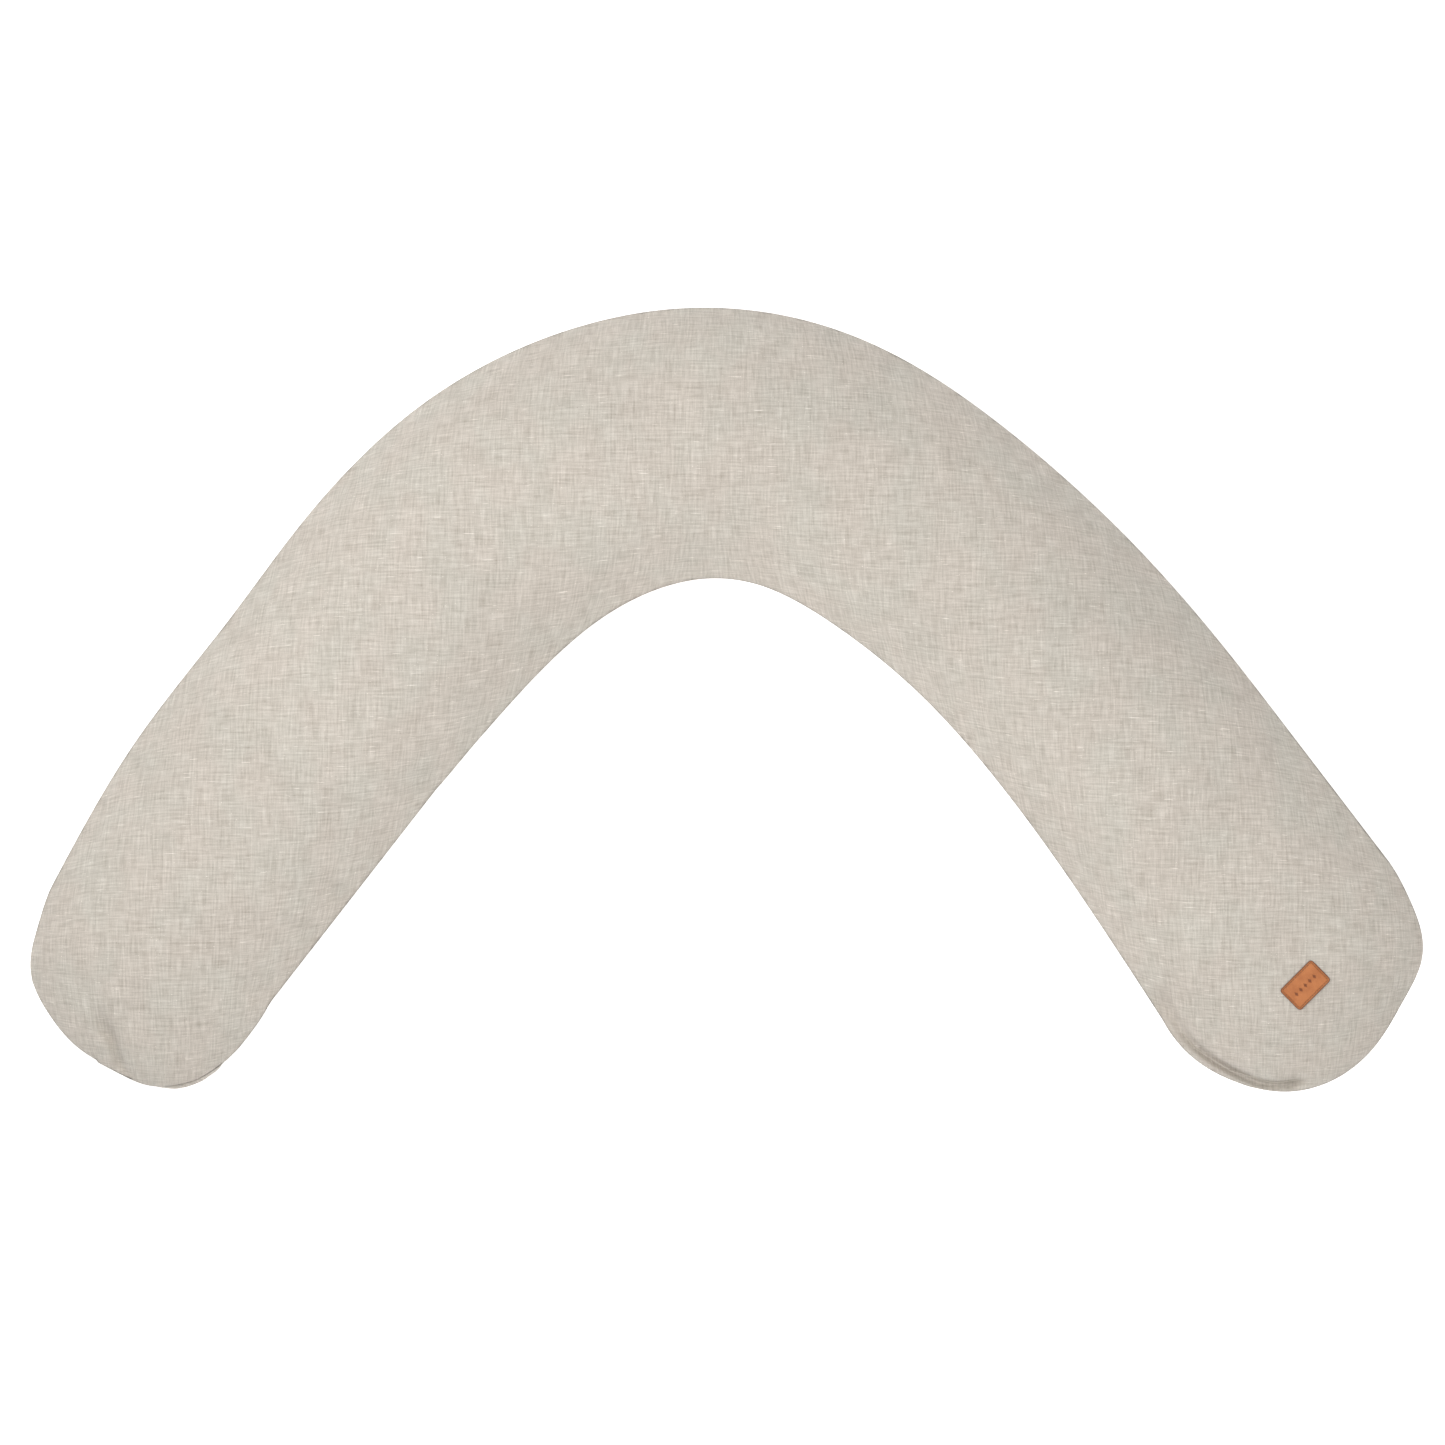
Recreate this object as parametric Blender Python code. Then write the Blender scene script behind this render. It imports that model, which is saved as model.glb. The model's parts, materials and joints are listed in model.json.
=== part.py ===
"""A boomerang-shaped nursing pillow: a linen cover with an edge zip and a leather label,
and inside it a cotton liner that holds a mass of light beads.

Frame: metres, +Z up, the pillow lying flat. The origin is on the floor under the middle of
its outline. +X runs from the zip's arm to the label's arm, and +Y from the open side, between
the two ends, to the crown.

Every soft layer is lofted from the same closed outline. A layer is a lens of cloth: from its
edge, at the height of the seam, the top rises to the crown and the bottom drops to the floor.
"""

import math

import bmesh
import bpy
import numpy as np
from mathutils import Matrix, Vector
from mathutils.bvhtree import BVHTree

# Driving dimensions of the filled pillow
END_SPAN = 1.105  # between the centres of the two round ends
CROWN_RISE = 0.500  # from the zip end's centre up to the middle of the crown
ARM_WIDTH = 0.268
THICKNESS = 0.140
SEAM_HEIGHT = 0.062
END_THICKNESS_SHARE = 0.84  # the ends hold fewer beads
END_TAPER_LENGTH = 0.30
CROWN_POWER = 2.5  # how full the top is: 2 is a parabola
FLOOR_CONTACT = 0.50  # share of the half-width that lies flat on the floor

# Cloth
COVER_CLOTH = 0.0005
LINER_CLOTH = 0.0003
LAYER_GAP = 0.00025  # the three layers under the beads come to 1.3 mm
TOP_SLACK = 0.0005  # each layer lies this much looser on top
FACE_GAP = 0.0003  # left between two pieces that touch
COVER_ALLOWANCE = 0.0075
LINER_ALLOWANCE = 0.005
LINER_INSET = COVER_ALLOWANCE + 0.0025
FILLING_INSET = LINER_INSET + LINER_ALLOWANCE + 0.0015
COVER_THREAD = 0.0007
LINER_THREAD = 0.0006

# The middle line of the arms, from the zip's end to the label's end. Across is a share of half
# the end span, and up a share of the crown's rise.
SPINE = [
    (-1.000, 0.003),
    (-0.860, 0.257),
    (-0.686, 0.489),
    (-0.552, 0.670),
    (-0.386, 0.850),
    (-0.208, 0.959),
    (-0.015, 1.000),
    (0.146, 0.971),
    (0.355, 0.842),
    (0.528, 0.681),
    (0.672, 0.508),
    (0.838, 0.268),
    (1.000, 0.016),
]
# Half-width at each of those points, as a share of half the arm's width
FULLNESS = [0.91, 0.94, 0.985, 1.02, 1.03, 1.015, 1.00, 0.985, 0.96, 0.95, 0.96, 0.98, 1.02]
# How far each end bulges past a round one, every 20 degrees from its inner to its outer side
END_BEARING = [-90, -70, -50, -30, -10, 10, 30, 50, 70, 90]
ZIP_END_BULGE = [1.0, 1.028, 1.12, 1.143, 1.066, 1.053, 1.05, 1.063, 1.0, 1.0]
LABEL_END_BULGE = [1.0, 1.04, 1.067, 1.102, 1.094, 1.05, 1.027, 1.073, 1.022, 1.0]

# The mesh of the soft layers
SPINE_STEPS = 20
END_STEPS = 10
TOP_RINGS = [0.0, 0.07, 0.20, 0.40, 0.66, 1.0]
BOTTOM_RINGS = [0.0, 0.13, 0.28, FLOOR_CONTACT, 1.0]

# The zip: a size 5 coil zip, in the inner edge of the arm, just under the seam
ZIP_START = 0.008  # from the end of the spine to the start of the opening
ZIP_OPENING = 0.290
ZIP_RAMP = 0.010  # length over which the bottom panel is cut back
RIM_INSET = 0.0076
RIM_DROP = 0.0140
HEM_INSET = 0.0170
HEM_DROP = 0.0280
TAPE_THICKNESS = 0.0006
TAPE_DEPTH = 0.0010  # from the panel's outer face to the tape's outer face
TAPE_EDGE = 0.0015  # from the chain's middle to the tape's edge
TAPE_UNDER_HEM = 0.0095
COIL_WIDTH = 0.0025
COIL_HEIGHT = 0.0020
COIL_SPLIT = 0.0003  # between the two coils
SLIDER_LENGTH = 0.0110
SLIDER_WIDTH = 0.0090
SLIDER_PLATE = 0.0009
SLIDER_CLEARANCE = 0.0003
FLANGE_WIDTH = 0.0008
WEDGE_LENGTH = 0.0028
WEDGE_WIDTH = 0.0018
BRIDGE_SPAN = 0.0068
BRIDGE_WIDTH = 0.0018
BRIDGE_BAR = 0.0011
BRIDGE_HEADROOM = 0.0018
PULL_LENGTH = 0.0280
PULL_WIDTH = 0.0060
PULL_THICKNESS = 0.0011
PULL_EYE_WIDTH = 0.0030
PULL_BAR = 0.0011
STOP_LENGTH = 0.0024
STOP_HEIGHT = 0.0022
CHAIN_END_MARGIN = 0.0080  # from the end of the opening to the bottom stop
SLIDER_START = 0.0075  # from the start of the opening to the closed slider
HEM_STITCH_INSET = 0.0030
HEM_THREAD = 0.0005

# The leather label, on the top of the other arm's end
LABEL_LENGTH = 0.0430
LABEL_WIDTH = 0.0280
LABEL_THICKNESS = 0.0016
LABEL_CORNER = 0.0034
LABEL_LIFT = 0.0006  # above the cover, to clear its facets
LABEL_TURN = 45.0  # degrees from +X
LABEL_AHEAD = 0.0516  # from the end of the spine, along the spine's own direction
LABEL_ASIDE = -0.0026  # towards the outer edge
STITCH_INSET = 0.0022
STITCH_GROOVE_WIDTH = 0.0014
STITCH_GROOVE_DEPTH = 0.0007
LABEL_THREAD = 0.0005

# The care label, sewn in the seam and lying on the liner, inside the cover
CARE_WIDTH = 0.030
CARE_LENGTH = 0.045
CARE_THICKNESS = 0.0003
CARE_LIFT = 0.0007
CARE_STATION = 0.62  # place along the spine, from the zip's end

LINEN = ((0.60, 0.56, 0.49), 0.92, 0.0)
COTTON = ((0.88, 0.87, 0.84), 0.9, 0.0)
BEADS = ((0.93, 0.93, 0.92), 0.6, 0.0)
THREAD = ((0.66, 0.62, 0.55), 0.8, 0.0)
LEATHER = ((0.50, 0.20, 0.07), 0.55, 0.0)
LEATHER_THREAD = ((0.42, 0.19, 0.08), 0.7, 0.0)
TAPE = ((0.62, 0.58, 0.51), 0.85, 0.0)
NYLON = ((0.60, 0.56, 0.50), 0.45, 0.0)
METAL = ((0.62, 0.60, 0.56), 0.35, 1.0)
SATIN = ((0.90, 0.90, 0.89), 0.5, 0.0)


def clear_scene():
    for old in list(bpy.data.objects):
        bpy.data.objects.remove(old)


def material(name, colour, roughness, metallic):
    made = bpy.data.materials.new(name)
    made.use_nodes = True
    shader = made.node_tree.nodes["Principled BSDF"]
    shader.inputs["Base Color"].default_value = (*colour, 1.0)
    shader.inputs["Roughness"].default_value = roughness
    shader.inputs["Metallic"].default_value = metallic
    return made


def add_object(name, mesh, look, matrix=None):
    made = bpy.data.objects.new(name, mesh)
    bpy.context.scene.collection.objects.link(made)
    mesh.materials.append(material(name, *look))
    if matrix is not None:
        made.matrix_world = matrix
    return made


def mesh_from(name, bm, smooth_under=40.0):
    bmesh.ops.recalc_face_normals(bm, faces=bm.faces)
    mesh = bpy.data.meshes.new(name)
    bm.to_mesh(mesh)
    bm.free()
    if smooth_under:
        mesh.shade_smooth()
        mesh.set_sharp_from_angle(angle=math.radians(smooth_under))
    return mesh


def curve_through(values, places):
    """A function of place that runs smoothly through the values: a natural cubic spline."""
    values, places = np.array(values, float), np.array(places, float)
    count, step = len(places), np.diff(places)
    system, right = np.eye(count), np.zeros_like(values)
    for i in range(1, count - 1):
        system[i, i - 1 : i + 2] = step[i - 1], 2 * (step[i - 1] + step[i]), step[i]
        right[i] = 6 * (
            (values[i + 1] - values[i]) / step[i] - (values[i] - values[i - 1]) / step[i - 1]
        )
    bend = np.linalg.solve(system, right)

    def at(place):
        place = np.clip(np.atleast_1d(np.array(place, float)), places[0], places[-1])
        i = np.clip(np.searchsorted(places, place, side="right") - 1, 0, count - 2)
        before, after, h = places[i + 1] - place, place - places[i], step[i]
        if values.ndim > 1:
            before, after, h = before[:, None], after[:, None], h[:, None]
        return (
            (bend[i] * before**3 + bend[i + 1] * after**3) / (6 * h)
            + (values[i] / h - bend[i] * h / 6) * before
            + (values[i + 1] / h - bend[i + 1] * h / 6) * after
        )

    return at


def smooth_step(share):
    share = np.clip(share, 0.0, 1.0)
    return share * share * (3 - 2 * share)


class Outline:
    """The closed seam line of the pillow, and for each of its points the foot on the spine that
    the layers' rings close in on. It runs along the inner side from the zip's end to the label's
    end, round that end, back along the outer side and round the zip's end."""

    def __init__(self):
        points = np.array(SPINE) * [END_SPAN / 2, CROWN_RISE]
        along = np.concatenate([[0], np.cumsum(np.linalg.norm(np.diff(points, axis=0), axis=1))])
        self.length = along[-1]
        self.spine = curve_through(points, along)
        self.half_width = curve_through(np.array(FULLNESS) * ARM_WIDTH / 2, along)
        zip_end = ZIP_START + ZIP_OPENING
        marks = [ZIP_START - ZIP_RAMP / 2, ZIP_START, zip_end, zip_end + ZIP_RAMP]
        marks[0] = max(marks[0], 0.0)
        steps = np.linspace(0, self.length, SPINE_STEPS + 1)
        spacing = steps[1] - steps[0]
        kept = [s for s in steps[1:-1] if min(abs(s - m) for m in marks) > spacing * 0.3]
        self.stations = np.array(sorted({0.0, self.length, *marks, *kept}))
        inner, outer = self.sides()
        self.lay_zip_straight(inner, zip_end)
        feet = self.spine(self.stations)
        label_cap = self.cap(self.length, LABEL_END_BULGE, 1)
        zip_cap = self.cap(0.0, ZIP_END_BULGE, -1)
        self.edge = np.concatenate([inner, label_cap, outer[::-1], zip_cap[::-1]])
        caps = [np.tile(foot, (END_STEPS - 1, 1)) for foot in (feet[-1], feet[0])]
        self.feet = np.concatenate([feet, caps[0], feet[::-1], caps[1]])
        places = [np.full(END_STEPS - 1, s) for s in (self.length, 0.0)]
        self.place = np.concatenate([self.stations, places[0], self.stations[::-1], places[1]])
        middle = (self.edge.min(axis=0) + self.edge.max(axis=0)) / 2
        self.edge -= middle
        self.feet -= middle
        self.middle = middle
        self.reach = np.linalg.norm(self.feet - self.edge, axis=1)
        self.inward = (self.feet - self.edge) / self.reach[:, None]
        near_end = np.minimum(self.place, self.length - self.place)
        slack = (1 - END_THICKNESS_SHARE) * (1 - smooth_step(near_end / END_TAPER_LENGTH))
        self.top = THICKNESS * (1 - slack)
        on_inner_side = np.arange(len(self.edge)) < len(self.stations)
        opened = (self.place >= ZIP_START - 1e-6) & (self.place <= zip_end + 1e-6)
        self.at_zip = on_inner_side & opened

    def heading(self, place):
        """The spine's direction at a place, from the zip's end to the label's end."""
        step = 1e-4
        low, high = max(place - step, 0.0), min(place + step, self.length)
        ahead = (self.spine(high) - self.spine(low))[0]
        return ahead / np.linalg.norm(ahead)

    def sides(self):
        headings = np.array([self.heading(s) for s in self.stations])
        outward = np.stack([-headings[:, 1], headings[:, 0]], axis=1)
        half = self.half_width(self.stations)[:, None]
        spine = self.spine(self.stations)
        return spine - outward * half, spine + outward * half

    def lay_zip_straight(self, inner, zip_end):
        """Moves the seam line onto a straight line along the zip."""
        zipped = (self.stations >= ZIP_START - 1e-6) & (self.stations <= zip_end + 1e-6)
        first, last = inner[zipped][0], inner[zipped][-1]
        ahead = (last - first) / np.linalg.norm(last - first)
        inner[zipped] = first + ((inner[zipped] - first) @ ahead)[:, None] * ahead

    def cap(self, place, bulge, sense):
        """The points of a round end, from its inner side to its outer side."""
        reach = curve_through(bulge, END_BEARING)
        ahead = self.heading(place) * sense
        outer = np.array([-ahead[1], ahead[0]]) * sense
        bearings = np.linspace(-90, 90, END_STEPS + 1)[1:-1]
        half = self.half_width(place)[0] * reach(bearings)
        turn = np.radians(bearings)[:, None]
        return self.spine(place) + half[:, None] * (np.cos(turn) * ahead + np.sin(turn) * outer)


class Layer:
    """One lens-shaped layer of the pillow, inset from the seam line and shrunk to fit inside the
    layers that hold it."""

    def __init__(self, outline, inset, shrink, slack):
        self.outline, self.inset, self.shrink, self.slack = outline, inset, shrink, slack
        self.reach = outline.reach - inset

    def points(self, inward, height):
        """A ring of points at a distance in from the layer's own edge."""
        inward = np.broadcast_to(inward, self.reach.shape)
        height = np.broadcast_to(height, self.reach.shape)
        flat = self.outline.edge + self.outline.inward * (self.inset + inward)[:, None]
        return np.column_stack([flat, height])

    def section(self, upper, share):
        """(how far in, height, slope) of the layer's outer face at a share of the way in."""
        if upper:
            rise = self.outline.top - self.shrink - self.slack - SEAM_HEIGHT
            height = SEAM_HEIGHT + rise * (1 - (1 - share) ** CROWN_POWER)
            slope = rise * CROWN_POWER * (1 - share) ** (CROWN_POWER - 1) / self.reach
        else:
            drop = SEAM_HEIGHT - self.shrink
            left = max(0.0, 1 - share / FLOOR_CONTACT)
            height = np.full_like(self.reach, SEAM_HEIGHT - drop * (1 - left**2))
            slope = drop * 2 * left / (FLOOR_CONTACT * self.reach)
        return share * self.reach, height, slope

    def ring(self, upper, share, depth=0.0):
        """The ring at a share of the way from the edge to the spine, at a depth in the cloth."""
        inward, height, slope = self.section(upper, share)
        step = depth / np.sqrt(1 + slope**2)
        return self.points(inward + step * slope, height - step if upper else height + step)


def loft(name, rings, look, closed=False):
    """A mesh through closed rings of points. Rings that close on a line are merged along it."""
    bm = bmesh.new()
    rows = [[bm.verts.new(point) for point in ring] for ring in rings]
    if closed:
        rows.append(rows[0])
    for row, following in zip(rows, rows[1:]):
        for i in range(len(row)):
            j = (i + 1) % len(row)
            bm.faces.new((row[i], row[j], following[j], following[i]))
    bmesh.ops.remove_doubles(bm, verts=bm.verts, dist=1e-6)
    bmesh.ops.dissolve_degenerate(bm, dist=1e-7, edges=bm.edges)
    split_quads(bm)
    return add_object(name, mesh_from(name, bm), look)


def split_quads(bm):
    """Splits each quad along its higher diagonal, so that the two faces of a cloth bend alike."""
    for face in [face for face in bm.faces if len(face.verts) == 4]:
        a, b, c, d = face.verts
        pair = (a, c) if a.co.z + c.co.z > b.co.z + d.co.z else (b, d)
        bmesh.utils.face_split(face, *pair)


def panel(name, layer, upper, cloth, allowance, look, hemmed=None):
    """A cloth panel: its outer face, the seam allowance turned in along its edge, and its inner
    face. Where hemmed is true the panel stops short of the edge, at the zip's rim."""
    shares = TOP_RINGS if upper else BOTTOM_RINGS
    side = 1 if upper else -1
    seam = SEAM_HEIGHT + side * FACE_GAP / 2
    outer = [layer.ring(upper, share) for share in shares]
    outer[0] = layer.points(0.0, seam)
    inner = [layer.ring(upper, share, cloth) for share in shares[1:]]
    fold = layer.points(2 * cloth, seam + side * cloth)
    turned = [
        layer.points(allowance, seam),
        layer.points(allowance, seam + side * cloth),
        fold,
    ]
    if hemmed is not None:
        rim = layer.points(RIM_INSET, SEAM_HEIGHT - RIM_DROP)
        hem = layer.points(HEM_INSET, SEAM_HEIGHT - HEM_DROP)
        lean = math.atan2(HEM_DROP - RIM_DROP, HEM_INSET - RIM_INSET)
        into = (cloth * math.sin(lean), cloth * math.cos(lean))
        rim_inside = layer.points(RIM_INSET + into[0], SEAM_HEIGHT - RIM_DROP + into[1])
        hem_inside = layer.points(HEM_INSET + into[0], SEAM_HEIGHT - HEM_DROP + into[1])
        outer[0][hemmed], outer[1][hemmed] = rim[hemmed], hem[hemmed]
        inner[0][hemmed] = hem_inside[hemmed]
        for i, ring in enumerate(turned):
            share = i / len(turned)
            ring[hemmed] = (rim_inside + (hem_inside - rim_inside) * share)[hemmed]
    return loft(name, outer[::-1] + turned + inner, look)


def seam_thread(name, layer, allowance, thread, look):
    """The overlocked thread that runs round the raw edges of a seam allowance."""
    middle, half = allowance + FACE_GAP + thread / 2, thread / 2
    corners = [(-half, 0.0), (0.0, half), (half, 0.0), (0.0, -half)]
    rings = [layer.points(middle + inward, SEAM_HEIGHT + up) for inward, up in corners]
    return loft(name, rings, look, closed=True)


def filling(name, layer, look):
    top = [layer.ring(True, share) for share in TOP_RINGS]
    bottom = [layer.ring(False, share) for share in BOTTOM_RINGS]
    return loft(name, top[::-1] + bottom[1:], look)


class ZipFrame:
    """The zip's own axes: X along the zip from its closed end, Y up the slope of the opening and Z
    out of the pillow. The origin is on the chain's middle line, at the start of the opening and
    level with the panel's outer face."""

    def __init__(self, outline):
        seam = outline.edge[outline.at_zip]
        ahead = (seam[-1] - seam[0]) / np.linalg.norm(seam[-1] - seam[0])
        out = np.array([ahead[1], -ahead[0]])
        self.length = float(np.linalg.norm(seam[-1] - seam[0]))
        self.slot = math.hypot(RIM_INSET, RIM_DROP)
        self.lean = math.atan2(RIM_DROP, RIM_INSET)
        up = np.array([*(out * math.cos(self.lean)), math.sin(self.lean)])
        along = np.array([*ahead, 0.0])
        face = np.cross(along, up)
        corner = np.array([*seam[0], SEAM_HEIGHT])
        origin = corner - up * self.slot / 2
        self.matrix = Matrix(np.column_stack([along, up, face]).tolist()).to_4x4()
        self.matrix.translation = Vector(origin)

    def of_section(self, inward, drop):
        """(Y, Z) of a point that lies inward of the seam line and below it."""
        y = self.slot / 2 - inward * math.cos(self.lean) - drop * math.sin(self.lean)
        return y, -inward * math.sin(self.lean) + drop * math.cos(self.lean)


def block(low, high, bevel=0.0, segments=1):
    """A box between two corners as a bmesh, with its edges bevelled."""
    low, high = Vector(low), Vector(high)
    bm = bmesh.new()
    size = high - low
    matrix = Matrix.Translation((low + high) / 2) @ Matrix.Diagonal((*size, 1.0))
    bmesh.ops.create_cube(bm, size=1.0, matrix=matrix)
    if bevel:
        bmesh.ops.bevel(
            bm, geom=bm.edges[:], offset=bevel, segments=segments, profile=0.5, affect="EDGES"
        )
    return bm


def strip(section, thickness, start, end):
    """A bent strip as a bmesh: a section line in Y and Z, thickened and run along X."""
    line = np.array(section, float)
    ahead = np.diff(line, axis=0)
    across = np.stack([-ahead[:, 1], ahead[:, 0]], axis=1)
    across /= np.linalg.norm(across, axis=1)[:, None]
    corner = [across[0], *(across[:-1] + across[1:]), across[-1]]
    offsets = []
    for i, direction in enumerate(corner):
        direction = direction / np.linalg.norm(direction)
        beside = across[min(i, len(across) - 1)]
        offsets.append(direction * thickness / 2 / (direction @ beside))
    ring = [*(line + offsets), *(line - offsets)[::-1]]
    bm = bmesh.new()
    ends = [[bm.verts.new((x, y, z)) for y, z in ring] for x in (start, end)]
    faces = [bm.faces.new(end) for end in ends]
    for i in range(len(ring)):
        j = (i + 1) % len(ring)
        bm.faces.new((ends[0][i], ends[0][j], ends[1][j], ends[1][i]))
    bmesh.ops.triangulate(bm, faces=faces)
    return bm


def helper(name, bm, matrix):
    """A shape that a Boolean joins to a part. It isn't a part by itself."""
    made = bpy.data.objects.new(name, mesh_from(name, bm, None))
    bpy.context.scene.collection.objects.link(made)
    made.matrix_world = matrix
    made.hide_render = True
    made.display_type = "WIRE"
    return made


def union(body, pieces):
    for piece in pieces:
        join = body.modifiers.new("join_" + piece.name, "BOOLEAN")
        join.operation = "UNION"
        join.solver = "EXACT"
        join.object = piece


def zip_parts(frame):
    """The two tapes with their coils, the stops, the thread of the hem and the slider."""
    tape_middle = -TAPE_DEPTH - TAPE_THICKNESS / 2
    margin = 0.001
    rim_y = -frame.slot / 2
    hem_turn = frame.lean - math.atan2(HEM_DROP - RIM_DROP, HEM_INSET - RIM_INSET)
    under = (rim_y - TAPE_UNDER_HEM * math.cos(hem_turn), -TAPE_UNDER_HEM * math.sin(hem_turn))
    lower = [(-TAPE_EDGE, tape_middle), (rim_y, tape_middle), (under[0], tape_middle + under[1])]
    tuck_drop = FACE_GAP + LAYER_GAP + TAPE_THICKNESS / 2
    tuck = [frame.of_section(inward, tuck_drop) for inward in (0.0024, COVER_ALLOWANCE - 0.0005)]
    upper = [(TAPE_EDGE, tape_middle), (tuck[0][0] - 0.0005, tape_middle), *tuck]
    for name, section in (("zip_tape_upper", upper), ("zip_tape_lower", lower)):
        bm = strip(section, TAPE_THICKNESS, margin, frame.length - margin)
        add_object(name, mesh_from(name, bm, 30), TAPE, frame.matrix)

    coil_floor = -TAPE_DEPTH + FACE_GAP
    coil_top = coil_floor + COIL_HEIGHT
    chain_start = SLIDER_START + WEDGE_LENGTH + 0.0012
    chain_end = frame.length - CHAIN_END_MARGIN - STOP_LENGTH - FACE_GAP
    for name, side in (("upper", 1), ("lower", -1)):
        near, far = side * COIL_SPLIT / 2, side * (COIL_SPLIT / 2 + COIL_WIDTH)
        low = (chain_start, min(near, far), coil_floor)
        high = (chain_end, max(near, far), coil_top)
        bm = block(low, high, bevel=COIL_HEIGHT * 0.28)
        add_object(f"zip_coil_{name}", mesh_from("coil", bm, 30), NYLON, frame.matrix)
        stop_end = SLIDER_START - SLIDER_CLEARANCE
        near, far = side * WEDGE_WIDTH / 3, side * (COIL_SPLIT / 2 + COIL_WIDTH + 0.0002)
        low = (stop_end - STOP_LENGTH, min(near, far), coil_floor)
        high = (stop_end, max(near, far), coil_floor + STOP_HEIGHT)
        bm = block(low, high, bevel=0.0004)
        add_object(f"zip_top_stop_{name}", mesh_from("stop", bm, 30), METAL, frame.matrix)
    half_stop = COIL_SPLIT / 2 + COIL_WIDTH + 0.0003
    low = (chain_end + FACE_GAP, -half_stop, coil_floor)
    high = (chain_end + FACE_GAP + STOP_LENGTH, half_stop, coil_floor + STOP_HEIGHT)
    stop_mesh = mesh_from("stop", block(low, high, bevel=0.0004), 30)
    add_object("zip_bottom_stop", stop_mesh, METAL, frame.matrix)

    stitch_y = rim_y - HEM_STITCH_INSET * math.cos(hem_turn)
    stitch_z = -HEM_STITCH_INSET * math.sin(hem_turn) + FACE_GAP + HEM_THREAD / 2
    half = HEM_THREAD / 2
    low = (margin, stitch_y - half, stitch_z - half)
    high = (frame.length - margin, stitch_y + half, stitch_z + half)
    bm = block(low, high, bevel=half * 0.5)
    add_object("zip_hem_thread", mesh_from("hem_thread", bm, 30), THREAD, frame.matrix)

    travel = chain_end - SLIDER_CLEARANCE - (SLIDER_START + SLIDER_LENGTH)
    return coil_top, travel


def slider(frame, coil_top):
    """The slider: two plates held apart by a wedge at the mouth, flanges that keep the coils in,
    and a bridge that the pull tab hangs from. Returns the pull tab's axis in the zip's frame."""
    base = frame.matrix @ Matrix.Translation((SLIDER_START, 0.0, 0.0))
    half = SLIDER_WIDTH / 2
    front = coil_top + SLIDER_CLEARANCE
    back = -TAPE_DEPTH - TAPE_THICKNESS - SLIDER_CLEARANCE
    overlap = 0.0001
    plate = block((0, -half, front), (SLIDER_LENGTH, half, front + SLIDER_PLATE), 0.0003)
    body = add_object("zip_slider_body", mesh_from("slider", plate, 30), METAL, base)
    flange_low = -TAPE_DEPTH + SLIDER_CLEARANCE
    wedge_start = 0.0003
    wedge = block(
        (wedge_start, -WEDGE_WIDTH / 2, back - overlap),
        (wedge_start + WEDGE_LENGTH, WEDGE_WIDTH / 2, front + overlap),
    )
    pieces = [
        helper("slider_back", block((0, -half, back - SLIDER_PLATE), (SLIDER_LENGTH, half, back)), base),
        helper("slider_wedge", wedge, base),
    ]
    for side in (-1, 1):
        near, far = side * (half - FLANGE_WIDTH), side * (half - overlap)
        low = (overlap, min(near, far), flange_low)
        high = (SLIDER_LENGTH - overlap, max(near, far), front + overlap)
        pieces.append(helper(f"slider_flange_{side}", block(low, high), base))
    top = front + SLIDER_PLATE
    arch_start = (SLIDER_LENGTH - BRIDGE_SPAN) / 2
    arch_end = arch_start + BRIDGE_SPAN
    bar_low = top + BRIDGE_HEADROOM
    for name, start, end, low in (
        ("front_leg", arch_start, arch_start + BRIDGE_BAR, top - overlap),
        ("rear_leg", arch_end - BRIDGE_BAR, arch_end, top - overlap),
        ("bar", arch_start + overlap, arch_end - overlap, bar_low),
    ):
        corner = (end, BRIDGE_WIDTH / 2 - (overlap if name == "bar" else 0), bar_low + BRIDGE_BAR)
        low_corner = (start, -corner[1], low)
        pieces.append(helper("bridge_" + name, block(low_corner, corner), base))
    union(body, pieces)
    axis_height = top + BRIDGE_HEADROOM / 2
    return Vector((SLIDER_START + SLIDER_LENGTH / 2, 0.0, axis_height))


def rounded_rectangle(length, width, corner, steps, side_pieces=1):
    """Points round a rectangle centred on the origin, with arcs at its corners."""
    arcs = []
    for quarter, (sx, sy) in enumerate(((1, 1), (-1, 1), (-1, -1), (1, -1))):
        centre = np.array([sx * (length / 2 - corner), sy * (width / 2 - corner)])
        turn = np.radians(90 * (quarter + np.arange(steps + 1) / steps))
        arcs.append(centre + corner * np.column_stack([np.cos(turn), np.sin(turn)]))
    points = []
    for arc, following in zip(arcs, arcs[1:] + arcs[:1]):
        shares = np.arange(1, side_pieces)[:, None] / side_pieces
        points += [*arc, *(arc[-1] + (following[0] - arc[-1]) * shares)]
    return np.array(points)


def pull_tab(frame, axis):
    """A flat tab with an eye round the bridge. Its origin is on its axis, the bar of the eye."""
    eye = BRIDGE_SPAN / 2 + 0.0010  # how far the eye reaches from the axis
    outer_length = PULL_LENGTH + PULL_BAR / 2
    outer = rounded_rectangle(outer_length, PULL_WIDTH, 0.0022, 4)
    hole_length = eye - PULL_BAR / 2
    hole = rounded_rectangle(hole_length, PULL_EYE_WIDTH, 0.0004, 2)
    curve = bpy.data.curves.new("zip_pull_tab", "CURVE")
    curve.dimensions = "2D"
    curve.fill_mode = "BOTH"
    curve.extrude = PULL_THICKNESS / 2
    outer_shift = outer_length / 2 - PULL_BAR / 2
    hole_shift = PULL_BAR / 2 + hole_length / 2
    for points, shift in ((outer, outer_shift), (hole, hole_shift)):
        spline = curve.splines.new("POLY")
        spline.points.add(len(points) - 1)
        for target, (x, y) in zip(spline.points, points):
            target.co = (x + shift, y, 0.0, 1.0)
        spline.use_cyclic_u = True
    return add_object("zip_pull_tab", curve, METAL, frame.matrix @ Matrix.Translation(axis))


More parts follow.
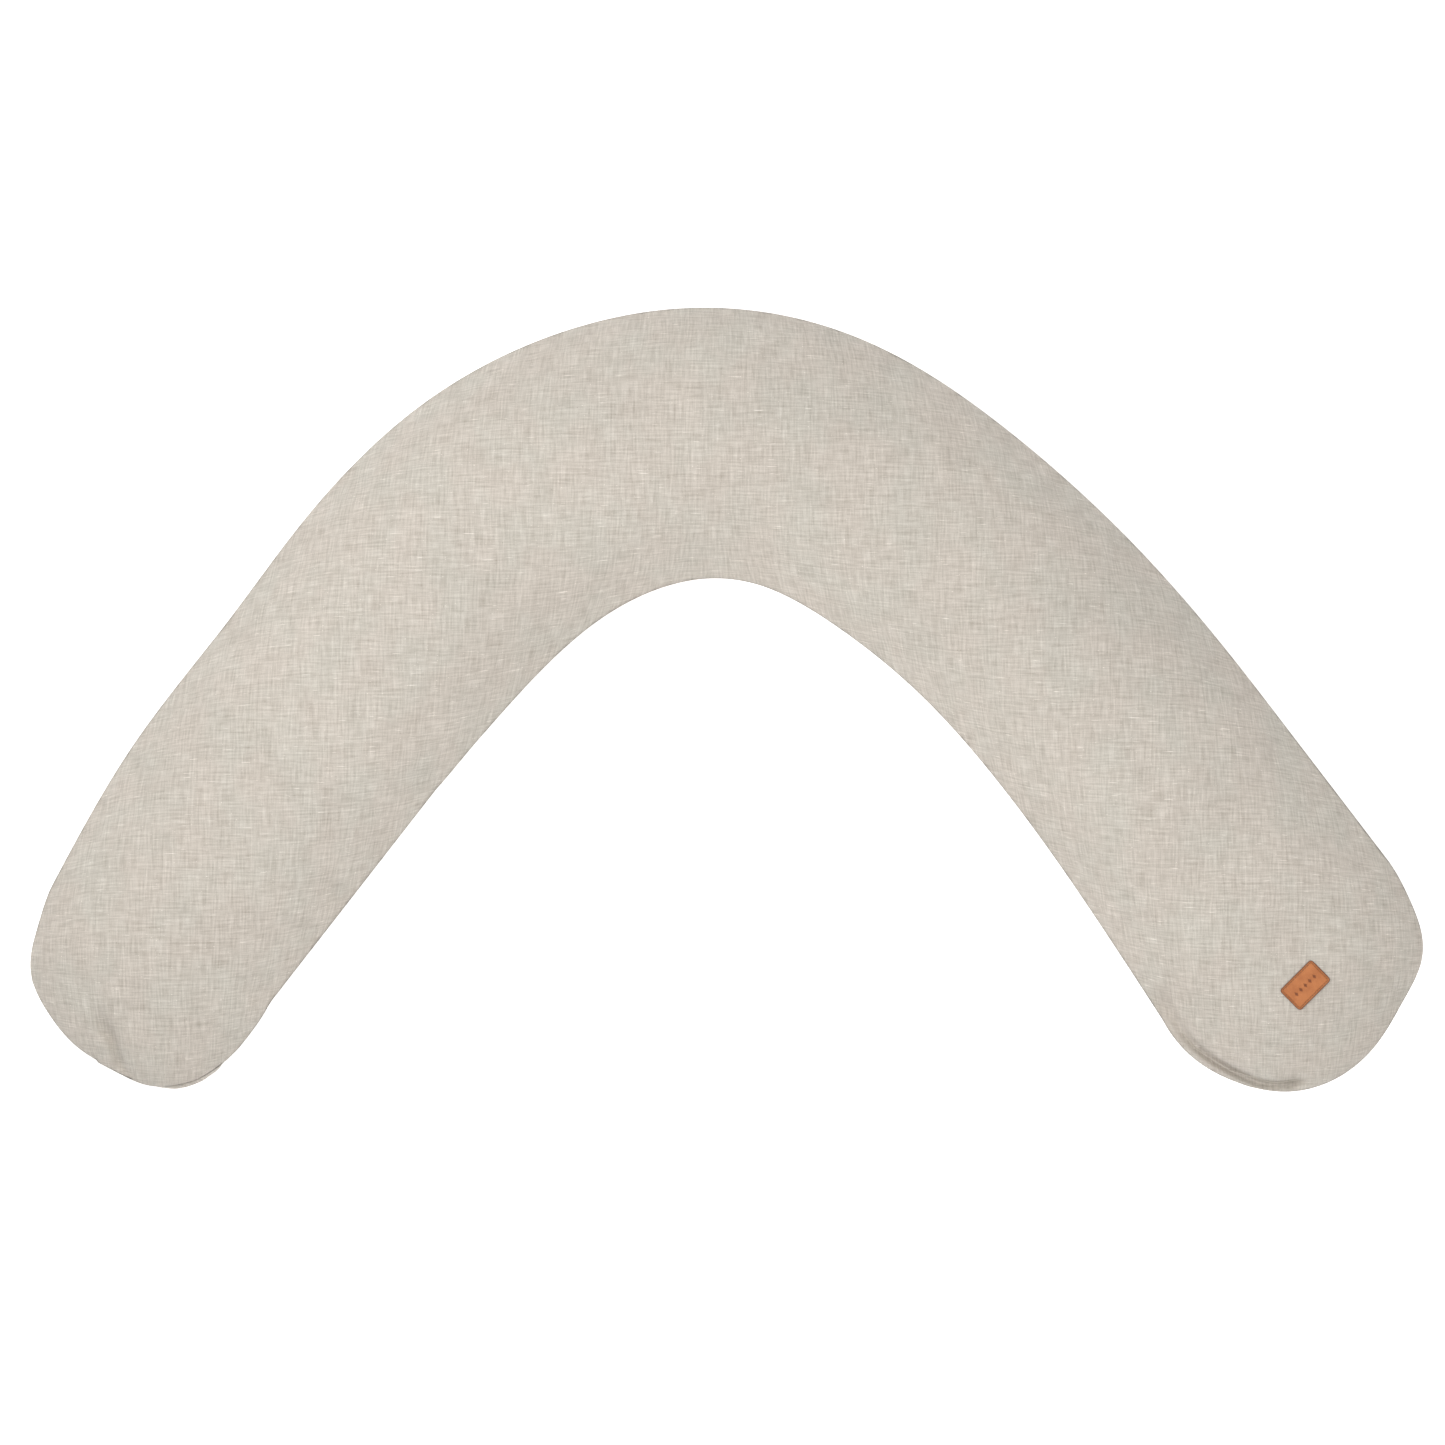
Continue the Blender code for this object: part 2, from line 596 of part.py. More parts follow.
def drape(points, surface, start_height):
    """Heights of a surface straight under each point."""
    heights = []
    for x, y in points:
        hit = surface.ray_cast(Vector((x, y, start_height)), Vector((0, 0, -1)))[0]
        heights.append(hit.z)
    return heights


def tree_of(made):
    bm = bmesh.new()
    bm.from_mesh(made.data)
    tree = BVHTree.FromBMesh(bm)
    bm.free()
    return tree


def leather_label(outline, cover_top):
    """A leather patch laid on the cover, with a groove that its stitches lie in."""
    ahead = outline.heading(outline.length)
    outer = np.array([-ahead[1], ahead[0]])
    end = outline.spine(outline.length)[0] - outline.middle
    centre = end + ahead * LABEL_AHEAD + outer * LABEL_ASIDE
    turn = math.radians(LABEL_TURN)
    spin = np.array([[math.cos(turn), -math.sin(turn)], [math.sin(turn), math.cos(turn)]])
    surface = tree_of(cover_top)

    def ring(inset, above):
        """A rounded rectangle inset from the patch's edge, at a height above the cover."""
        corner = max(LABEL_CORNER - inset, 0.0003)
        size = (LABEL_LENGTH - 2 * inset, LABEL_WIDTH - 2 * inset)
        flat = rounded_rectangle(*size, corner, 3, side_pieces=4) @ spin.T + centre
        heights = np.array(drape(flat, surface, 2 * THICKNESS)) + above
        return np.column_stack([flat, heights])

    under, over = LABEL_LIFT, LABEL_LIFT + LABEL_THICKNESS
    middle = LABEL_WIDTH / 2 - 0.0006
    groove = [STITCH_INSET - STITCH_GROOVE_WIDTH / 2, STITCH_INSET + STITCH_GROOVE_WIDTH / 2]
    rings = [ring(inset, under) for inset in (middle, LABEL_WIDTH * 0.3, 0.0)]
    rings += [ring(0.0, over - 0.0004), ring(0.0004, over)]
    rings += [ring(groove[0], over), ring(STITCH_INSET, over - STITCH_GROOVE_DEPTH)]
    rings += [ring(groove[1], over), ring(LABEL_WIDTH * 0.3, over), ring(middle, over)]
    label = loft_capped("leather_label", rings, LEATHER)
    half = LABEL_THREAD / 2
    height = over - STITCH_GROOVE_DEPTH + FACE_GAP + half
    corners = [(-half, 0.0), (0.0, half), (half, 0.0), (0.0, -half)]
    thread = [ring(STITCH_INSET + aside, height + up) for aside, up in corners]
    loft("label_thread", thread, LEATHER_THREAD, closed=True)
    return label


def loft_capped(name, rings, look):
    """A loft whose first and last rings are filled."""
    bm = bmesh.new()
    rows = [[bm.verts.new(point) for point in ring] for ring in rings]
    for row, following in zip(rows, rows[1:]):
        for i in range(len(row)):
            j = (i + 1) % len(row)
            bm.faces.new((row[i], row[j], following[j], following[i]))
    bm.faces.new(rows[0])
    bm.faces.new(rows[-1])
    bmesh.ops.triangulate(bm, faces=[face for face in bm.faces if len(face.verts) > 4])
    return add_object(name, mesh_from(name, bm), look)


def care_label(outline, liner, liner_top):
    """A satin strip that starts at the seam allowance and lies on the liner, inside the cover."""
    place = CARE_STATION * outline.length
    ahead = outline.heading(place)
    inner = np.array([ahead[1], -ahead[0]])
    seam = outline.spine(place)[0] - outline.middle + inner * outline.half_width(place)[0]
    surface = tree_of(liner_top)
    steps_in = np.linspace(liner.inset + 0.0010, liner.inset + CARE_LENGTH, 12)
    steps_across = np.linspace(-CARE_WIDTH / 2, CARE_WIDTH / 2, 5)
    bm = bmesh.new()
    sheets = []
    for above in (CARE_LIFT, CARE_LIFT + CARE_THICKNESS):
        rows = []
        for inward in steps_in:
            flat = [seam - inner * inward + ahead * aside for aside in steps_across]
            heights = drape(flat, surface, 2 * THICKNESS)
            rows.append([bm.verts.new((*p, h + above)) for p, h in zip(flat, heights)])
        sheets.append(rows)
    for rows in sheets:
        for row, following in zip(rows, rows[1:]):
            for i in range(len(row) - 1):
                bm.faces.new((row[i], row[i + 1], following[i + 1], following[i]))
    border = [boundary(rows) for rows in sheets]
    for i in range(len(border[0])):
        j = (i + 1) % len(border[0])
        bm.faces.new((border[0][i], border[0][j], border[1][j], border[1][i]))
    return add_object("care_label", mesh_from("care_label", bm), SATIN)


def boundary(rows):
    """The vertices round the edge of a grid, in order."""
    left = [row[0] for row in rows[::-1]]
    right = [row[-1] for row in rows]
    return rows[0] + right[1:] + rows[-1][::-1][1:] + left[1:-1]


def main():
    clear_scene()
    outline = Outline()
    cover = Layer(outline, 0.0, 0.0, 0.0)
    liner = Layer(outline, LINER_INSET, COVER_CLOTH + LAYER_GAP, TOP_SLACK)
    under_liner = liner.shrink + LINER_CLOTH + LAYER_GAP
    inside = Layer(outline, FILLING_INSET, under_liner, 2 * TOP_SLACK)
    cover_top = panel("cover_top_panel", cover, True, COVER_CLOTH, COVER_ALLOWANCE, LINEN)
    panel(
        "cover_bottom_panel", cover, False, COVER_CLOTH, COVER_ALLOWANCE, LINEN, outline.at_zip
    )
    seam_thread("cover_seam_thread", cover, COVER_ALLOWANCE, COVER_THREAD, THREAD)
    liner_top = panel("liner_top_panel", liner, True, LINER_CLOTH, LINER_ALLOWANCE, COTTON)
    panel("liner_bottom_panel", liner, False, LINER_CLOTH, LINER_ALLOWANCE, COTTON)
    seam_thread("liner_seam_thread", liner, LINER_ALLOWANCE, LINER_THREAD, COTTON)
    filling("bead_filling", inside, BEADS)
    frame = ZipFrame(outline)
    coil_top, travel = zip_parts(frame)
    axis = slider(frame, coil_top)
    pull_tab(frame, axis)
    leather_label(outline, cover_top)
    care_label(outline, liner, liner_top)
    print("zip travel", round(travel, 4), "along", [round(x, 5) for x in frame.matrix.col[0][:3]])
    print("pull axis at", [round(x, 5) for x in frame.matrix @ axis])
    print("pull axis along", [round(x, 5) for x in frame.matrix.col[1][:3]])
    size = outline.edge.max(axis=0) - outline.edge.min(axis=0)
    print("outline", np.round(size, 4), "stations", len(outline.stations))


main()
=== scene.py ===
# %% [markdown]
# # A linen nursing pillow
# The pillow is a long boomerang that curls round a parent's waist. It is a cushion in layers:
# light beads in a cotton liner, and over that a linen cover that comes off through a zip in its
# edge. The layers are soft, so the packed model's plain solids are replaced by cloth that is
# shaped here. The zip's hard parts keep their solids and get better finishes.

# %% Load the frame
import json
import math

import bmesh
import bpy
import numpy as np
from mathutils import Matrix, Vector
from mathutils.bvhtree import BVHTree


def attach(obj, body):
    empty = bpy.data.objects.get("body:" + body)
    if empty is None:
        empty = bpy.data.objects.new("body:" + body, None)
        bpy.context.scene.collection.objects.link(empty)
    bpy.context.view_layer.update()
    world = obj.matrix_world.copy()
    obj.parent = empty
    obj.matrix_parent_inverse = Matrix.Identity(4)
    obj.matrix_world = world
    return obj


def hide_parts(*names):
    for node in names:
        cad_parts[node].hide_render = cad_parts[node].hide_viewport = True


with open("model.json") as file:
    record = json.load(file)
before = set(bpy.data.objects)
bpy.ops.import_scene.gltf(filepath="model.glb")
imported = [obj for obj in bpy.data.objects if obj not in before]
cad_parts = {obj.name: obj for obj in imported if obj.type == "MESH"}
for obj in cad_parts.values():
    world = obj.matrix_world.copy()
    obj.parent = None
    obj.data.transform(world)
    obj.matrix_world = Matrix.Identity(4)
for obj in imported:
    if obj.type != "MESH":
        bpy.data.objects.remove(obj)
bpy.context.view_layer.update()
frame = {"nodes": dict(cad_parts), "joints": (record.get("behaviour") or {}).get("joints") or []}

scene = bpy.context.scene

# %% [markdown]
# ## The pattern
# A seamstress cuts this cushion from one pattern piece. Here the piece is a middle line with a
# width to each side of it, closed by two round ends, which is easier to adjust than a long list of
# points. The numbers are the ones that the solid model was built from.

# %% Pattern sizes
END_SPAN = 1.105
CROWN_RISE = 0.500
ARM_WIDTH = 0.268
THICKNESS = 0.140
SEAM_HEIGHT = 0.062
END_THICKNESS_SHARE = 0.84
END_TAPER_LENGTH = 0.30
CROWN_POWER = 2.5
FLOOR_CONTACT = 0.50
ZIP_START = 0.008
ZIP_OPENING = 0.290
PATTERN_SHIFT = np.array([0.009305, 0.246242])  # from the middle line's axes to the frame's
# The middle line's points, as shares of half the span and of the crown's rise
SPINE = [
    (-1.000, 0.003),
    (-0.860, 0.257),
    (-0.686, 0.489),
    (-0.552, 0.670),
    (-0.386, 0.850),
    (-0.208, 0.959),
    (-0.015, 1.000),
    (0.146, 0.971),
    (0.355, 0.842),
    (0.528, 0.681),
    (0.672, 0.508),
    (0.838, 0.268),
    (1.000, 0.016),
]
# The arm's width at those points, as a share of ARM_WIDTH
FULLNESS = [0.91, 0.94, 0.985, 1.02, 1.03, 1.015, 1.00, 0.985, 0.96, 0.95, 0.96, 0.98, 1.02]
# How far each round end bulges, at bearings in degrees from straight ahead
END_BEARING = [-90, -70, -50, -30, -10, 10, 30, 50, 70, 90]
ZIP_END_BULGE = [1.0, 1.028, 1.12, 1.143, 1.066, 1.053, 1.05, 1.063, 1.0, 1.0]
LABEL_END_BULGE = [1.0, 1.04, 1.067, 1.102, 1.094, 1.05, 1.027, 1.073, 1.022, 1.0]
print("sizes for", len(SPINE), "points of the middle line")

# %% [markdown]
# ## The middle line
# A pattern maker bends a thin strip of wood through a few pins and draws along it. A natural cubic
# spline is that strip in numbers: it passes through every point and bends as little as it can.

# %% Draw the middle line


def curve_through(values, places):
    """A function of place that runs smoothly through the values: a natural cubic spline."""
    values, places = np.array(values, float), np.array(places, float)
    count, step = len(places), np.diff(places)
    system, right = np.eye(count), np.zeros_like(values)
    for i in range(1, count - 1):
        system[i, i - 1 : i + 2] = step[i - 1], 2 * (step[i - 1] + step[i]), step[i]
        rise, next_rise = (values[i] - values[i - 1]), (values[i + 1] - values[i])
        right[i] = 6 * (next_rise / step[i] - rise / step[i - 1])
    bend = np.linalg.solve(system, right)

    def at(place):
        place = np.clip(np.atleast_1d(np.array(place, float)), places[0], places[-1])
        i = np.clip(np.searchsorted(places, place, side="right") - 1, 0, count - 2)
        before, after, h = places[i + 1] - place, place - places[i], step[i]
        if values.ndim > 1:
            before, after, h = before[:, None], after[:, None], h[:, None]
        return (
            (bend[i] * before**3 + bend[i + 1] * after**3) / (6 * h)
            + (values[i] / h - bend[i] * h / 6) * before
            + (values[i + 1] / h - bend[i + 1] * h / 6) * after
        )

    return at


def smooth_step(share):
    share = np.clip(share, 0.0, 1.0)
    return share * share * (3 - 2 * share)


spine_points = np.array(SPINE) * [END_SPAN / 2, CROWN_RISE] - PATTERN_SHIFT
spine_steps = np.linalg.norm(np.diff(spine_points, axis=0), axis=1)
spine_marks = np.concatenate([[0], np.cumsum(spine_steps)])
SPINE_LENGTH = spine_marks[-1]
spine_at = curve_through(spine_points, spine_marks)
half_width_at = curve_through(np.array(FULLNESS) * ARM_WIDTH / 2, spine_marks)


def heading(place):
    """The middle line's direction, from the zip's end to the label's end."""
    step = 1e-4
    low, high = np.maximum(place - step, 0), np.minimum(place + step, SPINE_LENGTH)
    ahead = spine_at(high) - spine_at(low)
    return ahead / np.linalg.norm(ahead, axis=1)[:, None]


print("middle line", round(SPINE_LENGTH, 3), "m")

# %% [markdown]
# ## The seam line
# The seam runs beside the middle line, half a width away, and is straight along the zip, because a
# zip's tape doesn't curve. Round each end it is drawn by bearing and distance, as on a compass rose.

# %% Draw the seam line


def zip_ends(ends):
    foot, ahead = spine_at(ends), heading(ends)
    outward = np.stack([-ahead[:, 1], ahead[:, 0]], axis=1)
    return foot - outward * half_width_at(ends)[:, None]


def side_lines(place, inset):
    """The middle line's points, and the inner and outer seam line beside them."""
    foot, ahead = spine_at(place), heading(place)
    outward = np.stack([-ahead[:, 1], ahead[:, 0]], axis=1)
    half = half_width_at(place)[:, None]
    inner, outer = foot - outward * half, foot + outward * half
    ends = np.array([ZIP_START, ZIP_START + ZIP_OPENING])
    first, last = zip_ends(ends)
    along = (last - first) / np.linalg.norm(last - first)
    zipped = (place >= ends[0]) & (place <= ends[1])
    inner[zipped] = first + ((inner[zipped] - first) @ along)[:, None] * along
    for line in (inner, outer):
        inward = foot - line
        line += inward / np.linalg.norm(inward, axis=1)[:, None] * inset
    return foot, inner, outer


def cap_curve(place, bulge, sense, inset):
    """An end's centre, its two axes, and a function of bearing that gives the seam line round it."""
    reach = curve_through(bulge, END_BEARING)
    ahead = heading(np.array([place]))[0] * sense
    outer = np.array([-ahead[1], ahead[0]]) * sense
    foot, half = spine_at(place)[0], half_width_at(place)[0]

    def at(bearing):
        bearing = np.atleast_1d(bearing)
        turn = np.radians(bearing)[:, None]
        far = (half * reach(bearing) - inset)[:, None]
        return foot + far * (np.cos(turn) * ahead + np.sin(turn) * outer)

    return foot, ahead, outer, at


zip_length = np.linalg.norm(np.subtract(*zip_ends(np.array([ZIP_START, ZIP_START + ZIP_OPENING]))))
print("the zip's opening is", round(float(zip_length), 3), "m long")

# %% [markdown]
# ## A grid for the cloth
# The cloth is simulated, so it needs even, square cells with no poles. Rows run across the arm, and
# the last rows at each end are bent to fill the round tip, as a cloth napkin fills a bowl. Every
# layer of the pillow uses this same grid, only inset from the seam.

# %% Lay out the grid
ACROSS = 44
ARM_ROWS = 256
CAP_ROWS = 22
CORNER_BEARING = 45.0  # where the last row's corners meet the seam, from straight ahead
CROWDING = 0.15  # crowds the cells towards the seam; at 0 they are all equally wide


def cap_rows(last_row, share, bulge, sense, inset, place):
    """The rows of one round end: between its last straight row and its tip, from edge to edge."""
    centre, ahead, aside, rim = cap_curve(place, bulge, sense, inset)
    row = np.arange(1, CAP_ROWS + 1)[:, None, None] / CAP_ROWS
    col = (share[None, :, None] + 1) / 2
    tip = rim(share * CORNER_BEARING)[None]
    swing = np.linspace(90, CORNER_BEARING, CAP_ROWS + 1)[1:]
    near, other = rim(-swing)[:, None], rim(swing)[:, None]
    corners = (1 - row) * ((1 - col) * last_row[:, :1] + col * last_row[:, -1:])
    corners = corners + row * ((1 - col) * tip[:, :1] + col * tip[:, -1:])
    cap = (1 - row) * last_row + row * tip + (1 - col) * near + col * other - corners
    away = cap - centre
    length = np.linalg.norm(away, axis=2)
    bearing = np.degrees(np.arctan2(away @ aside, away @ ahead))
    edge = np.linalg.norm(rim(bearing.ravel()) - centre, axis=1).reshape(bearing.shape)
    return cap, length / edge, away / length[..., None], place + 0 * bearing


def plan(inset=0.0):
    """The grid seen from above. Returns its points, how far out each lies (0 on the middle line, 1
    at the edge), the outward direction and the place along the middle line."""
    share = np.linspace(-1, 1, ACROSS + 1)
    share = share * (1 + CROWDING) - CROWDING * share**3
    share /= share[-1]
    place = np.linspace(0, SPINE_LENGTH, ARM_ROWS + 1)
    foot, inner, outer = side_lines(place, inset)
    to_inner, to_outer = (inner - foot)[:, None], (outer - foot)[:, None]
    across = share[None, :, None]
    arm = foot[:, None] + np.where(across < 0, -across * to_inner, across * to_outer)
    out = np.where(across < 0, to_inner, to_outer)
    out = out / np.linalg.norm(out, axis=2)[..., None] + 0 * arm
    far = np.abs(share)[None, :] + 0 * arm[..., 0]
    zip_cap = cap_rows(arm[:1], share, ZIP_END_BULGE, -1, inset, 0.0)
    label_cap = cap_rows(arm[-1:], share, LABEL_END_BULGE, 1, inset, SPINE_LENGTH)
    parts = [[array[::-1] for array in zip_cap], [arm, far, out, place[:, None] + 0 * far], label_cap]
    return [np.concatenate(arrays, axis=0) for arrays in zip(*parts)]


grid_xy, grid_far, grid_out, grid_place = plan()
low, high = grid_xy.min((0, 1)), grid_xy.max((0, 1))
print("grid", grid_xy.shape[:2], "outline", np.round(low, 4), np.round(high, 4))

# %% [markdown]
# ## Crown the cushion
# The two panels are lens-shaped: steep beside the seam, nearly flat on top, and pressed flat where
# the cushion rests on the floor. Each end is thinner than the arm, because the beads run away from
# it. The two panels share the seam line, so together they make one closed skin.

# %% Set the heights
START_RISE = 0.955  # the skin starts a little low, because the pressure lifts it


def crown_height(place):
    near_end = np.minimum(place, SPINE_LENGTH - place)
    slack = (1 - END_THICKNESS_SHARE) * (1 - smooth_step(near_end / END_TAPER_LENGTH))
    return THICKNESS * (1 - slack)


def top_height(far, place, rise=1.0):
    return SEAM_HEIGHT + rise * (crown_height(place) - SEAM_HEIGHT) * (1 - far**CROWN_POWER)


def bottom_height(far):
    return SEAM_HEIGHT * np.clip(1 - (1 - far) / FLOOR_CONTACT, 0, 1) ** 2


def lift(xy, height):
    return np.concatenate([xy, height[..., None]], axis=2)


def quads(number, upward=True):
    """Faces between neighbouring rows and columns of a grid of vertex numbers."""
    a, b, c, d = number[:-1, :-1], number[1:, :-1], number[1:, 1:], number[:-1, 1:]
    order = (a, b, c, d) if upward else (a, d, c, b)
    return np.stack(order, axis=-1).reshape(-1, 4)


def closed_skin(top, bottom):
    """One closed skin from the two panels, and the numbers of its vertices in each grid."""
    rows, cols = top.shape[:2]
    above = np.arange(rows * cols).reshape(rows, cols)
    below = above.copy()
    below[1:-1, 1:-1] = rows * cols + np.arange((rows - 2) * (cols - 2)).reshape(rows - 2, cols - 2)
    points = np.concatenate([top.reshape(-1, 3), bottom[1:-1, 1:-1].reshape(-1, 3)])
    return points, np.concatenate([quads(above), quads(below, False)]), above, below


def eased_along(height, passes=40):
    """Smooths the heights along the pillow, so that the round ends grow out of the arms."""
    for _ in range(passes):
        height[1:-1, 1:-1] = (height[:-2] + 2 * height[1:-1] + height[2:])[:, 1:-1] / 4
    return height


start_top = lift(grid_xy, eased_along(top_height(grid_far, grid_place, START_RISE)))
start_bottom = lift(grid_xy, bottom_height(grid_far))
print("crown", round(float(start_top[..., 2].max()), 4), "m")

# %% [markdown]
# ## Blow it up
# Beads push on the cloth from inside, like a gas that doesn't flow. The cloth is held along its seam
# and where it rests on the floor. Near the seam the panels are eased, which means cut a little
# longer than the seam that gathers them, so the pressure buckles them into soft puckers.

# %% Blow up a skin
PRESSURE = 4.0
SIMULATED_FRAMES = 20
EASE = 0.014
EASE_REACH = 0.40  # share of the way in from the seam that is eased
MOST_MOVE = 0.008


def mesh_object(name, points, faces, smooth=True):
    mesh = bpy.data.meshes.new(name)
    faces = faces.tolist() if isinstance(faces, np.ndarray) else faces
    mesh.from_pydata(np.asarray(points).tolist(), [], faces)
    if smooth:
        mesh.shade_smooth()
    made = bpy.data.objects.new(name, mesh)
    scene.collection.objects.link(made)
    return made


def blown_up(points, faces, held, plain):
    """Where the cloth's points come to rest under the filling's pressure."""
    skin = mesh_object("skin", points, faces, smooth=False)
    for name, weights in (("held", held), ("plain", plain)):
        group = skin.vertex_groups.new(name=name)
        for weight in np.unique(np.round(weights, 2)):
            chosen = np.flatnonzero(np.round(weights, 2) == weight).tolist()
            group.add(chosen, float(weight), "REPLACE")
    cloth = skin.modifiers.new("cloth", "CLOTH").settings
    cloth.quality = 5
    cloth.mass = 0.3
    cloth.tension_stiffness = cloth.compression_stiffness = 15
    cloth.shear_stiffness = 5
    cloth.bending_stiffness = 6.0
    cloth.vertex_group_mass = "held"
    cloth.vertex_group_shrink = "plain"
    cloth.shrink_min, cloth.shrink_max = -EASE, 0.0
    cloth.use_pressure = True
    cloth.uniform_pressure_force = PRESSURE
    cloth.effector_weights.gravity = 0.0
    scene.frame_start, scene.frame_end = 1, SIMULATED_FRAMES
    for number in range(1, SIMULATED_FRAMES + 1):
        scene.frame_set(number)
    shaped = skin.evaluated_get(bpy.context.evaluated_depsgraph_get()).to_mesh()
    found = np.empty(len(points) * 3)
    shaped.vertices.foreach_get("co", found)
    scene.frame_set(1)
    bpy.data.objects.remove(skin)
    return found.reshape(-1, 3)


def capped(move, most):
    size = np.linalg.norm(move, axis=-1, keepdims=True)
    return move * np.minimum(1, most / np.maximum(size, 1e-9))


print("pressure", PRESSURE, "for", SIMULATED_FRAMES, "frames")

# %% [markdown] ## Hold the seam and the floor patch The points that are held don't move at
# all, and no other point may move more than a few millimetres, so the cushion keeps its
# measured size.

# %% Simulate the cushion
points, faces, above, below = closed_skin(start_top, start_bottom)
shape = points.copy()
far = np.zeros(len(points))
far[above] = far[below] = grid_far
under = np.zeros(len(points), bool)
under[below[1:-1, 1:-1]] = True
held = np.where(far > 0.999, 1.0, 0.0)
held[under & (far < FLOOR_CONTACT)] = 1.0
held[above[:, [0, -1]]] = held[above[[0, -1]]] = 1.0
plain = 1 - smooth_step((far - (1 - EASE_REACH)) / EASE_REACH)
shape = points + capped(blown_up(points, faces, held, plain) - points, MOST_MOVE)
top, bottom = shape[above], shape[below]
bottom[..., 2] = np.maximum(bottom[..., 2], 0.0)
print("crown", round(float(top[..., 2].max()), 4), "m, moved", round(float(abs(shape - points).max()), 4))

# %% [markdown]
# ## Finer cloth
# The simulated cells are 6 mm wide, which is too coarse for a fold. New rows and columns go between
# the old ones, on cubic curves through them, so the cloth stays exactly where it settled.

# %% Refine the two panels


def finer(grid):
    """A grid with twice the rows and columns, on cubic curves through the old points."""
    for axis in (0, 1):
        old = np.moveaxis(grid, axis, 0)
        before, after = 2 * old[:1] - old[1:2], 2 * old[-1:] - old[-2:-1]
        padded = np.concatenate([before, old, after])
        new = np.empty((2 * len(old) - 1, *old.shape[1:]))
        new[::2] = old
        new[1::2] = (9 * (padded[1:-2] + padded[2:-1]) - padded[:-3] - padded[3:]) / 16
        grid = np.moveaxis(new, 0, axis)
    return grid


top, bottom = finer(top), finer(bottom)
far, place, out = finer(grid_far), finer(grid_place), finer(grid_out)
out /= np.maximum(np.linalg.norm(out, axis=2, keepdims=True), 1e-6)
rows, cols = far.shape
inner_side = np.broadcast_to(np.arange(cols) < cols // 2, far.shape)
reach = half_width_at(place.ravel()).reshape(place.shape)
print("cells", rows - 1, "x", cols - 1)

# %% [markdown]
# ## Places near an end
# A fold is easiest to describe from the round end that it lies in, by a bearing from straight ahead
# and a distance from the end of the middle line. A curve through a few such marks is the fold's
# line. Each point of the cloth then has a distance to that line and a share of the way along it.

# %% Measure near an end
LINE_STEPS = 80
END_AXES = {
    "zip": cap_curve(0.0, ZIP_END_BULGE, -1, 0.0)[:3],
    "label": cap_curve(SPINE_LENGTH, LABEL_END_BULGE, 1, 0.0)[:3],
}


def near_end(end, marks):
    """Points from (bearing, distance) marks at one of the round ends."""
    foot, ahead, aside = END_AXES[end]
    turn, distance = np.radians([m[0] for m in marks]), np.array([m[1] for m in marks])
    way = np.cos(turn)[:, None] * ahead + np.sin(turn)[:, None] * aside
    return foot + way * distance[:, None]


def beside(line, xy):
    """How far each point is to the right of a line, and its share of the way along the line."""
    steps = np.linspace(0, len(line) - 1, LINE_STEPS)
    path = curve_through(line, range(len(line)))(steps)
    gap = xy[..., None, :] - path
    nearest = np.argmin((gap**2).sum(-1), axis=-1)
    ahead = np.gradient(path, axis=0)
    ahead /= np.linalg.norm(ahead, axis=1, keepdims=True)
    gap = np.take_along_axis(gap, nearest[..., None, None], axis=-2)[..., 0, :]
    ahead = ahead[nearest]
    side = np.sign(ahead[..., 1] * gap[..., 0] - ahead[..., 0] * gap[..., 1])
    return side * np.linalg.norm(gap, axis=-1), steps[nearest] / (len(line) - 1)


for end, axes in END_AXES.items():
    print("the", end, "end turns round", np.round(axes[0], 4))

# %% [markdown]
# ## Hollows and a wandering seam
# The top of a used cushion has shallow hollows where beads have moved away, and its seam wanders a
# few millimetres up and down, except along the zip, whose tapes are stiff. Both come from smooth
# waves that run in every direction.

# %% Press hollows into the top
HOLLOW_DEPTH = 0.0016
SMALL_HOLLOWS = 0.35  # how deep the small hollows are, as a share of the large ones
SEAM_WANDER = 0.0022
STIFF_BEFORE = 0.02  # how far before the zip its tapes begin to hold the seam straight
LOOSE_AFTER, LOOSE_OVER = 0.01, 0.05  # where the seam is let go beyond the zip, and how soon
ZIP_END = ZIP_START + ZIP_OPENING


def ripples(xy, seed, shortest, longest, count=48):
    """Smooth seeded waves, about 1 high, that run in every direction."""
    chance = np.random.default_rng(seed)
    total = np.zeros(xy.shape[:-1])
    for _ in range(count):
        turn, phase = chance.uniform(0, 2 * np.pi, 2)
        length = chance.uniform(shortest, longest)
        total += np.cos(2 * np.pi * (xy @ [np.cos(turn), np.sin(turn)]) / length + phase)
    return total / math.sqrt(count / 2)


xy = top[..., :2].copy()
inside = 1 - far**6
top[..., 2] += HOLLOW_DEPTH * ripples(xy, 11, 0.09, 0.26) * inside
top[..., 2] += SMALL_HOLLOWS * HOLLOW_DEPTH * ripples(xy, 12, 0.03, 0.07) * inside

stiff = np.where(inner_side, smooth_step((place + STIFF_BEFORE) / STIFF_BEFORE), 0)
free = np.maximum(1 - stiff, smooth_step((place - ZIP_END - LOOSE_AFTER) / LOOSE_OVER))
near_seam = np.clip((far - 0.8) / 0.2, 0, 1)
wander = SEAM_WANDER * ripples(xy, 13, 0.12, 0.45) * near_seam * free
top[..., 2] += wander
bottom[..., 2] += wander
print("the seam wanders", round(float(np.ptp(wander)), 4), "m up and down")

# %% [markdown]
# ## Fold the two ends
# Each end has its own fold: a crease where the zip's end stiffens the cloth, and a deep groove where
# the seam of the other end is pulled flat. The cloth near a fold's line is pushed down, and a low
# ridge stands on each side of the crease. A few soft folds lie beside them.

